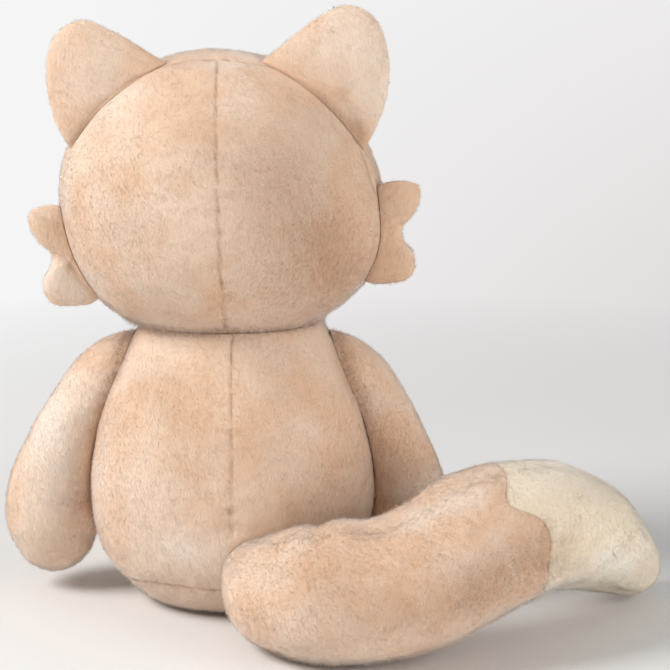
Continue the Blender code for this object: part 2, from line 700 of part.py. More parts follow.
def build_legs(torso_room, ground):
    """Each leg's cover, sole panel and stuffing."""
    gap = SEAM_GAP / 2
    for side, word in ((1, "left"), (-1, "right")):
        cover, _ = build_limb(
            f"{word}_leg",
            lambda name, close_start, side=side: leg_mesh(name, side, close_start),
            torso_room,
            ground,
        )
        toes = leg_root(side).y - LEG_LENGTH * LEG_FORWARD_SHARES[-1]
        seam = toes + SOLE_BACK
        sole = copy_of(cover, f"{word}_foot_sole", CREAM)
        boolean(cover, "INTERSECT", reach_box(f"{word} leg region", (-1, seam + gap, -1)))
        boolean(sole, "INTERSECT", reach_box(f"{word} sole region", high=(1, seam - gap, 1)))


def build_tail(torso_room, ground):
    """The tail's cover, its tip of another cloth, joined on a slanting seam, and its stuffing."""
    cover, _ = build_limb("tail", tail_mesh, torso_room, ground)
    tip = copy_of(cover, "tail_tip", CREAM)
    root = tail_root()
    seam_place = root + TAIL_LENGTH * Vector((-TAIL_TIP_SIDE_SHARE, 0, TAIL_TIP_UP_SHARE))
    lean = Matrix.Translation(seam_place) @ Matrix.Rotation(TAIL_TIP_SLANT, 4, "Y")
    reach = 2 * TAIL_LENGTH
    gap = SEAM_GAP / 2
    for piece, low, high in ((cover, gap, reach), (tip, -reach, -gap)):
        region = box_cutter(f"{piece.name} region", (low, -reach, -reach), (high, reach, reach))
        region.matrix_world = lean
        boolean(piece, "INTERSECT", region)


def leg_hinge(side):
    """Where the leg lifts: the crease between it and the torso's front."""
    return leg_root(side) + Vector((0, 0, LEG_HINGE_HEIGHT))


def tail_hinge():
    """Where the tail swings away: the side of its root that faces away from its tip."""
    return tail_root() + Vector((TAIL_HINGE_ASIDE, 0, 0))


def hang_on(name, point, pieces):
    """An empty on a joint's axis, as the parent of the pieces that turn about it."""
    pivot = bpy.data.objects.new(name, None)
    bpy.context.scene.collection.objects.link(pivot)
    pivot.location = point
    for piece in pieces:
        obj = bpy.data.objects[piece]
        obj.parent = pivot
        obj.matrix_parent_inverse = Matrix.Translation(-Vector(point))


def hang_moving_pieces(head_pieces):
    """Hangs the head, the limbs and the tail on the axes they turn about."""
    hang_on("neck pivot", (0, 0, TORSO_HEIGHT), head_pieces)
    for side, word in ((1, "left"), (-1, "right")):
        arm = f"{word}_arm"
        hang_on(f"{word} shoulder pivot", arm_pivot(side), (arm, f"{arm}_stuffing"))
        leg = f"{word}_leg"
        pieces = (leg, f"{word}_foot_sole", f"{leg}_stuffing")
        hang_on(f"{word} hip pivot", leg_hinge(side), pieces)
    hang_on("tail pivot", tail_hinge(), ("tail", "tail_tip", "tail_stuffing"))


def main():
    clear_scene()
    ground = reach_box("above ground", (-1, -1, 0))
    torso_room = place("torso room", grown(torso_mesh("torso room form", True), FIT_GAP))
    head_room = place("head room", grown(head_mesh("head room form", True), FIT_GAP))
    build_torso()
    torso_pieces = sub_parts()
    made = build_head()
    build_ears(head_room)
    build_tufts(head_room)
    muzzle_cover, muzzle_stuffing = build_muzzle(head_room)
    build_studs(made, muzzle_cover, muzzle_stuffing)
    part_head(made)
    head_pieces = sub_parts() - torso_pieces
    for side, word in ((1, "left"), (-1, "right")):
        build_limb(
            f"{word}_arm",
            lambda name, close_start, side=side: arm_mesh(name, side, close_start),
            arm_room(side),
            None,
        )
    build_legs(torso_room, ground)
    build_tail(torso_room, ground)
    hang_moving_pieces(head_pieces)


main()
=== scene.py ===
"""A sitting plush fox, dressed: short brushed pile over stuffed forms, with seams, creases, glossy eyes
and nose. Every form has the shape of the CAD sub-part that it replaces. The fox faces -Y."""

import math

import bpy
import numpy as np
from mathutils import Matrix, Vector
from mathutils.kdtree import KDTree


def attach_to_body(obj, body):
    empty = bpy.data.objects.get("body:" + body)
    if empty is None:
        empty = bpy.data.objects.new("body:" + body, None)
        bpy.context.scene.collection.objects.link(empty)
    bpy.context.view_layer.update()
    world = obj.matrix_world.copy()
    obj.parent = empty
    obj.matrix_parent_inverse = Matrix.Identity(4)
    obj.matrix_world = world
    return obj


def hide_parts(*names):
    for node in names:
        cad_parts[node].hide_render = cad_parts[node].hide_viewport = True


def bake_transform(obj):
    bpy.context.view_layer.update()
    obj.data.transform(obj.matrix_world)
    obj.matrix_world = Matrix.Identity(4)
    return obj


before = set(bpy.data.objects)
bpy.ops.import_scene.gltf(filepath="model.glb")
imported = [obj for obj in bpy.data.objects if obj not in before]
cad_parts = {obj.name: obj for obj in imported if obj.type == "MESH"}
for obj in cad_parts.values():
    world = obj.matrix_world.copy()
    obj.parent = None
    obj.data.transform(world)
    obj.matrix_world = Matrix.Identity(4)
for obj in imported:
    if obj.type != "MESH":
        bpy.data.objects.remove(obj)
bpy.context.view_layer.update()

MM = 0.001

# Seams: a narrow groove in a shallow valley, deeper at the stitches, with puckers beside it
SEAM_DEPTH = 0.6 * MM
SEAM_WIDTH = 0.6 * MM
VALLEY_DEPTH = 0.6 * MM
VALLEY_WIDTH = 5 * MM
STITCH = 3.5 * MM
PUCKER_DEPTH = 0.45 * MM
PUCKER_REACH = 8 * MM
SKIN_GAP = 0.4 * MM

# Cut edges are rolled in by a quarter circle, open ends are closed with rings, and the stuffing of a
# limb is a share of its cover
ROLL = 0.4 * MM
CAP_RINGS = 6
FILLING_SHARE = 0.78

# Soft lumps and fine clumps of a stuffed skin
LUMP_SIZES = (26 * MM, 11 * MM)
CLUMP_SIZE = 1.6 * MM
CLUMP_DEPTH = 0.08 * MM

# Pile: slim fibres that lean together in locks and stand in tufts, and how rough the tufts are
# unbrushed: their relief, with painted shade between them and painted light at their middles
PILE_LENGTH = 1.5 * MM
PILE_WIDTH = 0.22 * MM
PILE_ROOT = 0.15 * MM
PILE_PER_SQUARE_MM = 2.2
STRAND_STRETCH = (1, 1, 0.4)
SWEEP_SIZE = 14 * MM
LOCK_SIZE = 1.8 * MM
TUFT_SIZE = 1.6 * MM
UNBRUSHED_TUFT_RELIEF_AND_SHADE = 0.28

# Torso
TORSO_HEIGHT = 0.141
TORSO_SEAM_ASIDE = -0.002
TORSO_HALF_WIDTH = 0.0705
TORSO_HALF_DEPTH = 0.065
BASE_SEAM_HEIGHT = 0.0075
BASE_SEAM_LIFT = 0.011
TORSO_RISE_SHARES = (1.05, 1.0, 0.95, 0.84, 0.68, 0.48, 0.32, 0.18, 0.075, 0.015, 0.0)
TORSO_SIDE_SHARES = (0.56, 0.625, 0.685, 0.795, 0.92, 1.0, 0.995, 0.915, 0.755, 0.59, 0.0)

# Head, about the middle of the neck
HEAD_RISE = 0.132
HEAD_HALF_WIDTH = 0.0785
HEAD_HALF_DEPTH = 0.068
HEAD_SIDE_SHIFT = 0.003
HEAD_ROLL = math.radians(3.2)
HEAD_SEAM_BACK = 0.020
HEAD_SEAM_LEAN = math.radians(1.6)
HEAD_RISE_SHARES = (-0.09, 0.0, 0.05, 0.125, 0.22, 0.32, 0.45, 0.61, 0.78, 0.9, 0.97, 1.0)
HEAD_SIDE_SHARES = (0.43, 0.585, 0.71, 0.845, 0.945, 0.995, 1.0, 0.95, 0.79, 0.575, 0.32, 0.0)
HEAD_ASIDE_SHARES = (-0.2, -0.3, -0.4, -0.5, -0.5, -0.2, 0.4, 0.9, 1.0, 1.0, 1.0, 1.0)

# Ears, in shares of the head's rise
EAR_HALF_WIDTH = 0.031
EAR_HALF_THICKNESS = 0.009
EAR_BACK = 0.016
EAR_ASIDE = -0.002
EAR_OUT_SHARES = (0.25, 0.335, 0.4, 0.447, 0.475, 0.485)
EAR_UP_SHARES = (0.69, 0.785, 0.872, 0.965, 1.055, 1.135)
EAR_WIDTH_SHARES = (1.0, 1.03, 0.94, 0.78, 0.55, 0.0)
EAR_THICKNESS_SHARES = (0.6, 0.72, 0.92, 0.9, 0.68, 0.0)
WADDING_SHARE = 0.6

# Cheek tufts: an outline with two blunt lobes round a middle, in shares of the head's rise
TUFT_HALF_THICKNESS = 0.0055
TUFT_BACK = 0.015
TUFT_MIDDLE_SHARES = (0.58, 0.3)
LEFT_TUFT_SET_SHARES = (-0.015, -0.022)
TUFT_OUT_SHARES = (0.59, 0.705, 0.724, 0.7, 0.655, 0.655, 0.69, 0.68, 0.62, 0.5, 0.44, 0.46)
TUFT_UP_SHARES = (0.49, 0.485, 0.435, 0.375, 0.325, 0.28, 0.22, 0.15, 0.12, 0.135, 0.25, 0.4)

# Muzzle, eyes and nose
MUZZLE_LENGTH = 0.036
MUZZLE_HALF_WIDTH = 0.034
MUZZLE_HALF_HEIGHT = 0.023
MUZZLE_RISE = 0.041
MUZZLE_REACH_SHARES = (-0.6, 0.0, 0.4, 0.75, 0.95, 1.0)
MUZZLE_SIDE_SHARES = (1.05, 1.0, 0.9, 0.66, 0.36, 0.0)

# Arms, in shares of the arm's length from its pivot
LEFT_SPREAD_SHARE = 1.03
RIGHT_SPREAD_SHARE = 0.87
ARM_LENGTH = 0.129
ARM_HALF_WIDTH = 0.0188
SHOULDER_DROP = 0.009
ARM_START = 0.35
ARM_OUT_SHARES = (-0.12, 0.0, 0.095, 0.185, 0.27, 0.327, 0.327, 0.312, 0.298)
ARM_FORWARD_SHARES = (0.03, 0.035, 0.04, 0.05, 0.06, 0.07, 0.08, 0.085, 0.09)
ARM_DROP_SHARES = (0.1, 0.115, 0.185, 0.3, 0.45, 0.61, 0.745, 0.87, 0.955)
ARM_SIDE_SHARES = (0.72, 0.9, 1.0, 0.97, 1.0, 1.1, 1.21, 0.94, 0.0)
SHOULDER_BLEND = (0.006, -0.028)
ARM_GIVE = 2 * MM
ARM_TOUCH = 8 * MM
SEWN_REACH = (18 * MM, 45 * MM)
SEWN_GIVE = 8 * MM

# Legs, from the root: outwards and forwards in shares of the leg's length, up in shares of its half
# width
LEG_LENGTH = 0.084
LEG_HALF_WIDTH = 0.0205
LEG_STANCE = 0.031
LEG_HINGE_HEIGHT = 0.043
LEG_OUT_SHARES = (-0.03, 0.0, 0.03, 0.07, 0.1, 0.115, 0.125)
LEG_FORWARD_SHARES = (-0.25, 0.0, 0.3, 0.6, 0.84, 0.98, 1.06)
LEG_UP_SHARES = (0.92, 0.96, 0.98, 1.0, 1.17, 1.29, 1.35)
LEG_SIDE_SHARES = (0.45, 0.93, 1.02, 1.03, 1.2, 0.98, 0.0)
SOLE_START = 4.75

# Tail, in shares of its length from its root
TAIL_LENGTH = 0.200
TAIL_HALF_WIDTH = 0.031
TAIL_SIDE_SHARES = (0.08, 0.09, 0.14, 0.26, 0.425, 0.585, 0.725, 0.84, 0.93, 1.01, 1.05)
TAIL_BACK_SHARES = (-0.08, 0.04, 0.145, 0.21, 0.195, 0.125, 0.02, -0.09, -0.19, -0.26, -0.29)
TAIL_UP_SHARES = (0.135, 0.135, 0.137, 0.144, 0.197, 0.255, 0.265, 0.22, 0.145, 0.075, 0.04)
TAIL_THICK_SHARES = (0.52, 0.69, 0.86, 0.95, 1.115, 1.11, 1.0, 0.88, 0.71, 0.45, 0.0)
# Stations of the tip's seam at even turns round the tail, from its front over its top
TAIL_TIP_SEAM = (5.72, 5.68, 5.6, 5.5, 5.42, 5.27, 5.1, 5.42, 5.44, 5.45, 5.45, 5.55, 5.65, 5.72, 5.75, 5.75)
TAIL_SEAM_TURNS = (math.radians(106), math.radians(236))

# Creases as seen from behind: from and to, in mm right and up in the picture, then depth and width
TAIL_CREASES = (
    (146, 26, 147, 43, 2.4, 4.5),
    (152, 22, 156, 36, 2.2, 4.0),
    (159, 22, 164, 42, 2.0, 4.5),
    (172, 22, 176, 34, 1.2, 5.0),
    (183, 22, 193, 29, 0.8, 5.0),
    (60, 44, 96, 52, 0.7, 6.0),
    (20, 24, 58, 30, 0.7, 7.0),
)

# The tail's upper edge is moved out where the depth is below zero, and in where it is above
TAIL_RISES = ((38, 35, 50, 41, -6.0, 12.0), (68, 47, 84, 56, 3.5, 11.0))

# Folds of the ears, tufts and shoulders, and the knots at the ends of the centre seams
EAR_CREASES = ((55, 242, 63, 226, 1.1, 3.5), (-46, 236, -38, 243, 0.8, 3.0))
LEFT_TUFT_CREASES = ((-75, 163, -67, 154, 1.6, 2.0),)
RIGHT_TUFT_CREASES = ((75, 178, 82, 183, 1.0, 2.0),)
ARM_CREASES = ((-48, 128, -40, 120, 0.8, 3.0), (49, 130, 58, 122, 0.8, 3.0))
KNOTS = ((1.5, 148, 1.6, 148.2, 1.0, 1.5), (1.0, 46.5, 1.1, 46.7, 1.0, 1.5))

# Patches where the pile is darker, or paler below zero, partly brushed nap and partly painted light:
# painted shade on the toy's shaded right, its lower parts and in folds, painted light on its lit
# left parts, the tail's top and the ears. From and to as above, how much, width
NAP_AND_PAINTED_LIGHT = (
    (26, 204, 40, 160, 0.52, 27),
    (50, 174, 54, 166, 0.3, 15),
    (-12, 218, -8, 210, 0.15, 14),
    (-46, 180, -40, 178, 0.2, 10),
    (-30, 106, -16, 70, 0.2, 17),
    (18, 116, 24, 108, 0.2, 14),
    (14, 80, 24, 70, 0.12, 12),
    (114, 16, 138, 28, 0.65, 14),
    (84, 52, 112, 60, -0.5, 7),
    (-24, 28, -2, 24, -0.6, 11),
    (176, 26, 190, 20, -0.6, 6),
    (155, 22, 159, 42, 0.16, 5),
    (166, 20, 171, 32, 0.12, 5),
    (44, 14, 96, 6, 0.3, 12),
    (50, 26, 84, 30, 0.15, 12),
    (47, 240, 60, 230, 0.2, 8),
    (-92, 86, -84, 60, -0.7, 22),
    (-66, 250, -54, 242, -0.4, 16),
    (-84, 158, -74, 148, -0.6, 9),
    (58, 262, 70, 250, -0.4, 18),
)

# Pile colours: the darkest tone, for painted shade and brushed nap, the roots' tone, two main tones,
# the palest tone, for painted light and brushed nap
TAN = (
    (0.42, 0.23, 0.135),
    (0.74, 0.47, 0.31),
    (0.79, 0.535, 0.365),
    (0.885, 0.72, 0.575),
    (0.93, 0.81, 0.70),
)
CREAM = (
    (0.52, 0.35, 0.22),
    (0.84, 0.67, 0.48),
    (0.92, 0.79, 0.60),
    (0.95, 0.86, 0.71),
    (0.97, 0.91, 0.81),
)

# Camera and light
CAMERA_TARGET = Vector((-0.051, 0, 0.1325))
CAMERA_DISTANCE = 1.0
CAMERA_RISE = math.radians(11)
CAMERA_LENS = 108.5


def smooth_through(values, at):
    """A smooth curve through values at 0, 1, 2 and so on: cubic Hermite spans with middle slopes."""
    values = np.asarray(values, float)
    slopes = np.gradient(values, axis=0)
    first = np.clip(np.floor(at).astype(int), 0, len(values) - 2)
    u = at - first
    if values.ndim > 1:
        u = u[..., None]
    start, end = values[first], values[first + 1]
    stay = 2 * u**3 - 3 * u**2 + 1
    leaving = (u**3 - 2 * u**2 + u) * slopes[first]
    arriving = (u**3 - u**2) * slopes[first + 1]
    return stay * start + (1 - stay) * end + leaving + arriving


def swell(halves, at):
    """Half widths at `at`. Squares are interpolated, so that an end at zero closes round."""
    return np.sqrt(np.maximum(smooth_through(np.square(halves), at), 0))


def smooth_step(low, high, value):
    """0 up to low, 1 from high, with an S-curve between."""
    t = np.clip((value - low) / (high - low), 0, 1)
    return t * t * (3 - 2 * t)


def bell(distance, width):
    """A bell curve, exp(-(distance / width) squared): 1 at no distance, about a third at the width."""
    return np.exp(-((distance / width) ** 2))


def lattice_noise(points, size, seed):
    """Smooth noise from -1 to 1: a hashed number at each corner of a lattice of cubes of this size,
    blended inside each cube with S-curves."""
    cells = np.asarray(points) / size
    base = np.floor(cells).astype(np.int64)
    part = cells - base
    part = part * part * (3 - 2 * part)
    total = np.zeros(cells.shape[:-1])
    for corner in np.ndindex(2, 2, 2):
        mixed = ((base + corner) * (73856093, 19349663, 83492791)).sum(-1) + seed * 668265263
        mixed = ((mixed ^ (mixed >> 13)) * 1274126177) & 0xFFFFFFFF
        value = ((mixed ^ (mixed >> 16)) & 0xFFFF) / 32767.5 - 1
        weight = np.prod(np.where(corner, part, 1 - part), axis=-1)
        total += value * weight
    return total


def even_rows(track, count):
    """The rows of a track (n, k) at equal distances along it: its length is measured in all columns."""
    steps = np.linalg.norm(np.diff(track, axis=0), axis=1)
    length = np.concatenate([[0], np.cumsum(steps)])
    wanted = np.linspace(0, length[-1], count)
    return np.stack([np.interp(wanted, length, column) for column in track.T], axis=1)


def upright_grid(rises, shares, half_width, half_depth, aside, around):
    """An upright form: at each height an ellipse whose halves are the share times the two halves,
    its middle moved aside. Point = (aside + width * cos turn, depth * sin turn, height)."""
    turn = np.linspace(0, 2 * math.pi, around, endpoint=False)
    x = aside[:, None] + (shares * half_width)[:, None] * np.cos(turn)
    y = (shares * half_depth)[:, None] * np.sin(turn)
    z = np.repeat(rises[:, None], around, axis=1)
    return np.stack([x, y, z], axis=-1)


def rolled_in(shares, away, half_width):
    """Shares that shrink by a quarter circle of the roll's radius where away, the distance from a
    cut, is smaller than it."""
    t = np.clip(1 - away / ROLL, 0, 1)
    return shares - ROLL / half_width * (1 - np.sqrt(1 - t * t))


def torso_profile():
    """Heights and shares from the neck down to the ground, rolled in at the neck."""
    at = np.linspace(0, len(TORSO_RISE_SHARES) - 1, 1500)
    rises = smooth_through(TORSO_RISE_SHARES, at) * TORSO_HEIGHT
    shares = swell(TORSO_SIDE_SHARES, at)
    top = TORSO_HEIGHT - SKIN_GAP / 2
    inside = rises < top
    rises, shares = rises[inside], shares[inside]
    return np.maximum(rises, SKIN_GAP), rolled_in(shares, top - rises, TORSO_HALF_WIDTH)


def head_profile():
    """Heights over the neck and shares, from below the neck up to the crown."""
    at = np.linspace(0, len(HEAD_RISE_SHARES) - 1, 1500)
    return smooth_through(HEAD_RISE_SHARES, at) * HEAD_RISE, swell(HEAD_SIDE_SHARES, at)


def head_aside(rises):
    """How far the head's middle is moved to its left at each height."""
    at = np.linspace(0, len(HEAD_RISE_SHARES) - 1, 400)
    heights = smooth_through(HEAD_RISE_SHARES, at) * HEAD_RISE
    return np.interp(rises, heights, smooth_through(HEAD_ASIDE_SHARES, at) * HEAD_SIDE_SHIFT)


def profile_rows(rises, shares, half_width, count):
    rows = even_rows(np.stack([rises, shares * half_width], axis=1), count)
    return rows[:, 0], rows[:, 1] / half_width


def torso_half_share(height):
    """How wide and deep the torso is at a height, as a share of its widest."""
    rises, shares = torso_profile()
    return np.interp(height, rises[::-1], shares[::-1])


def torso_grid(around, rings):
    rises, shares = profile_rows(*torso_profile(), TORSO_HALF_WIDTH, rings)
    return upright_grid(rises, shares, TORSO_HALF_WIDTH, TORSO_HALF_DEPTH, 0 * rises, around)


def head_grid(around, rings):
    """The head in its own frame, from the crown down to where the level neck cuts its tilted form:
    towards the neck, each height is lifted to the cut's height at that side."""
    rises, shares = head_profile()
    above = rises > 0
    rises, shares = profile_rows(rises[above][::-1], shares[above][::-1], HEAD_HALF_WIDTH, rings)
    turn = np.linspace(0, 2 * math.pi, around, endpoint=False)
    x = head_aside(rises)[:, None] + HEAD_HALF_WIDTH * shares[:, None] * np.cos(turn)
    lift = 1 - smooth_step(0, 0.3 * HEAD_RISE, rises)[:, None]
    z = rises[:, None] + lift * x * math.tan(HEAD_ROLL) + SKIN_GAP / 2
    share = np.interp(z, *head_profile())
    share = rolled_in(share, rises[:, None], HEAD_HALF_WIDTH)
    share[0] = 0
    x = head_aside(z) + HEAD_HALF_WIDTH * share * np.cos(turn)
    y = HEAD_HALF_DEPTH * share * np.sin(turn)
    return np.stack([x, y, z], axis=-1)


def torso_share(points):
    """How far out a point is in the torso: 0 on its axis, 1 on its skin."""
    rises, shares = torso_profile()
    here = np.maximum(np.interp(points[..., 2], rises[::-1], shares[::-1], 1e-3, 1e-3), 1e-3)
    wide = points[..., 0] / (TORSO_HALF_WIDTH * here)
    deep = points[..., 1] / (TORSO_HALF_DEPTH * here)
    return np.hypot(wide, deep)


def head_share(points):
    """How far out a point of the head's own frame is in the head: 0 on its axis, 1 on its skin."""
    rises, shares = head_profile()
    here = np.maximum(np.interp(points[..., 2], rises, shares, 1e-3, 1e-3), 1e-3)
    wide = (points[..., 0] - head_aside(points[..., 2])) / (HEAD_HALF_WIDTH * here)
    deep = points[..., 1] / (HEAD_HALF_DEPTH * here)
    return np.hypot(wide, deep)


def pressed_out(points, share_of, centres, half_width):
    """Points that lie in a form are moved straight away from their centres to just outside its skin,
    by halving the interval in which the skin lies."""
    aim = 1 + SKIN_GAP / half_width
    low, high = np.ones(points.shape[:-1]), np.full(points.shape[:-1], 8.0)
    for _ in range(26):
        middle = (low + high) / 2
        out = share_of(centres + (points - centres) * middle[..., None]) > aim
        low, high = np.where(out, low, middle), np.where(out, middle, high)
    inside = share_of(points) < aim
    return np.where(inside[..., None], centres + (points - centres) * high[..., None], points)


def path_ats(path, halves, start, stop, count):
    """Places along a path, evenly spaced over the form's surface between two stations."""
    at = np.linspace(start, stop, 1200)
    track = np.column_stack([smooth_through(path, at), swell(halves, at)])
    steps = np.linalg.norm(np.diff(track, axis=0), axis=1)
    length = np.concatenate([[0], np.cumsum(steps)])
    return np.interp(np.linspace(0, length[-1], count), length, at)


def leaving_ats(form, share_of, around, latest):
    """For each place round a form, the station at which its line along the form leaves a body: the
    last of many stations that is still inside, and a share of the step to the next one. A line that
    passes beside the body has the station where it comes nearest."""
    stations = np.linspace(0, latest, 240)
    share = share_of(path_grid(*form, stations, around))
    inside = share[:-1] < 1
    last = len(stations) - 2 - np.argmax(inside[::-1], axis=0)
    last = np.where(inside.any(axis=0), last, np.argmin(share[:-1], axis=0))
    index = np.arange(around)
    low, high = share[last, index], share[last + 1, index]
    part = np.clip((1 - low) / np.maximum(high - low, 1e-6), 0, 1)
    return stations[last] + part * (stations[1] - stations[0])


def rooted_grid(form, share_of, stop, rings, around, latest):
    """A limb's grid from where each of its lines leaves the body to the station stop. Stations are
    evenly spaced over the surface, and slide from the slanting root to an even end."""
    path, half_widths, _, _ = form
    roots = leaving_ats(form, share_of, around, latest)
    even = path_ats(path, half_widths, roots.mean(), stop, rings)
    weight = (stop - even) / (stop - even[0])
    return path_grid(*form, even[:, None] + (roots - roots.mean()) * weight[:, None], around)


def path_grid(path, half_widths, half_depths, facing, at, around):
    """Ellipses square to a path, their depth along facing. `at` may differ round a ring, which slants
    it. Point = place on path + width way * width * cos turn + depth way * depth * sin turn."""
    at = np.broadcast_to(at if at.ndim == 2 else at[:, None], (at.shape[0], around))
    last = len(path) - 1
    nudge = 0.01
    ahead = smooth_through(path, np.minimum(at + nudge, last))
    along = ahead - smooth_through(path, np.maximum(at - nudge, 0))
    along /= np.linalg.norm(along, axis=-1, keepdims=True)
    depth_way = facing - along * (along @ facing)[..., None]
    depth_way /= np.linalg.norm(depth_way, axis=-1, keepdims=True)
    width_way = np.cross(depth_way, along)
    turn = np.linspace(0, 2 * math.pi, around, endpoint=False)
    wide = (swell(half_widths, at) * np.cos(turn))[..., None]
    deep = (swell(half_depths, at) * np.sin(turn))[..., None]
    return smooth_through(path, at) + width_way * wide + depth_way * deep


def capped(grid, ends):
    """The grid with flat caps: rings that shrink in even steps to the middle of each open end."""
    shrink = np.linspace(0, 1, CAP_RINGS + 1)[1:, None, None]
    parts = [grid]
    if ends[0]:
        middle = grid[0].mean(axis=0)
        parts.insert(0, (grid[0] + (middle - grid[0]) * shrink)[::-1])
    if ends[1]:
        middle = grid[-1].mean(axis=0)
        parts.append(grid[-1] + (middle - grid[-1]) * shrink)
    return np.concatenate(parts)


def grid_normals(grid):
    """Outward unit normals: the cross product of the differences along the rings and round them. A
    ring that is one point has the mean of the next ring."""
    down = np.gradient(grid, axis=0)
    round_it = np.roll(grid, -1, axis=1) - np.roll(grid, 1, axis=1)
    normals = np.cross(down, round_it)
    for end, beside in ((0, 1), (-1, -2)):
        if np.ptp(grid[end], axis=0).max() < 1e-6:
            normals[end] = normals[beside].mean(axis=0)
    size = np.linalg.norm(normals, axis=-1, keepdims=True)
    normals = normals / np.maximum(size, 1e-12)
    middle = grid.reshape(-1, 3).mean(axis=0)
    outward = np.sign(np.sum(normals * (grid - middle)))
    return normals * (outward or 1)


def seam_dip(distance):
    """How deep the skin lies at a distance from a seam: two bell curves, one narrow and one wide."""
    narrow = SEAM_DEPTH * bell(distance, SEAM_WIDTH)
    wide = VALLEY_DEPTH * bell(distance, VALLEY_WIDTH)
    return narrow + wide


def puckers(grid, distance, stretch, seed):
    """Small gathers beside a seam: noise that is short along the seam and long across it."""
    wave = lattice_noise(grid * np.array(stretch), 4 * MM, seed)
    return PUCKER_DEPTH * wave * bell(distance, PUCKER_REACH)


def creases(grid, lines, facing=(0, 1, 0)):
    """How deep creases lie, as seen from behind: a bell curve across each line and past its ends, on
    the side of the form that faces that way."""
    right = -grid[..., 0]
    up = grid[..., 2] * math.cos(CAMERA_RISE) - grid[..., 1] * math.sin(CAMERA_RISE)
    places = np.stack([right, up], axis=-1)
    depths = np.zeros(grid.shape[:-1])
    for line in lines:
        start, end = np.array(line[:2]) * MM, np.array(line[2:4]) * MM
        depth, width = line[4] * MM, line[5] * MM
        run = end - start
        part = np.clip((places - start) @ run / (run @ run), 0, 1)
        away = np.linalg.norm(places - start - part[..., None] * run, axis=-1)
        depths += depth * bell(away, width)
    return depths * smooth_step(0.1, 0.5, grid_normals(grid) @ np.array(facing))


def nap_and_painted_light_tone(grid):
    """How much darker the pile is painted, partly for brushed nap and partly as painted shade, or
    paler below zero as painted light: the bell curves of all patches together.
    """
    return creases(grid, NAP_AND_PAINTED_LIGHT) / MM


def stuffed(grid, seam, lump, seed, calm, extra, open_ends):
    """The skin of a stuffed form: the grid moved along its normals, out by soft lumps, clumps of
    pile and what extra adds, and in at the seams. Calm is 0 where the skin stays in place."""
    rise = lump * lattice_noise(grid, LUMP_SIZES[0], seed)
    rise += 0.45 * lump * lattice_noise(grid, LUMP_SIZES[1], seed + 1)
    rise += CLUMP_DEPTH * lattice_noise(grid * STRAND_STRETCH, CLUMP_SIZE, seed + 2)
    rise -= seam_dip(seam) * (0.8 + 0.4 * lattice_noise(grid, STITCH, seed + 3))
    ends = np.ones((len(grid), 1))
    ends[0], ends[-1] = open_ends
    return grid + grid_normals(grid) * ((rise + extra) * ends * calm)[..., None]


def point_values(mesh, name, values):
    """Gives each point of a mesh a number or a vector under this name."""
    kind, key = ("FLOAT_VECTOR", "vector") if values.ndim > 1 else ("FLOAT", "value")
    mesh.attributes.new(name, kind, "POINT").data.foreach_set(key, values.astype(np.float32).ravel())


def skin_mesh(name, grid, shade):
    """A closed mesh of the grid: quads between its rings, triangles at its two end points."""
    rings, around = grid.shape[0] - 2, grid.shape[1]
    points = np.concatenate([grid[:1, 0], grid[1:-1].reshape(-1, 3), grid[-1:, 0]])
    index = 1 + np.arange(rings * around).reshape(rings, around)
    following = np.roll(index, -1, axis=1)
    quads = np.stack([index[:-1], following[:-1], following[1:], index[1:]], axis=-1).reshape(-1, 4)
    first = np.stack([following[0], index[0], np.zeros(around, int)], axis=-1)
    last = np.stack([index[-1], following[-1], np.full(around, len(points) - 1)], axis=-1)
    faces = quads.tolist() + first.tolist() + last.tolist()
    mesh = bpy.data.meshes.new(name)
    mesh.from_pydata(points.tolist(), [], faces)
    corners = points[np.concatenate([first, quads[:, :3], quads[:, (0, 2, 3)]])]
    volume = np.sum(corners[:, 0] * np.cross(corners[:, 1], corners[:, 2]))
    if volume < 0:
        mesh.flip_normals()
    values = np.concatenate([shade[:1, 0], shade[1:-1].ravel(), shade[-1:, 0]])
    point_values(mesh, "shade", values)
    mesh.shade_smooth()
    return mesh


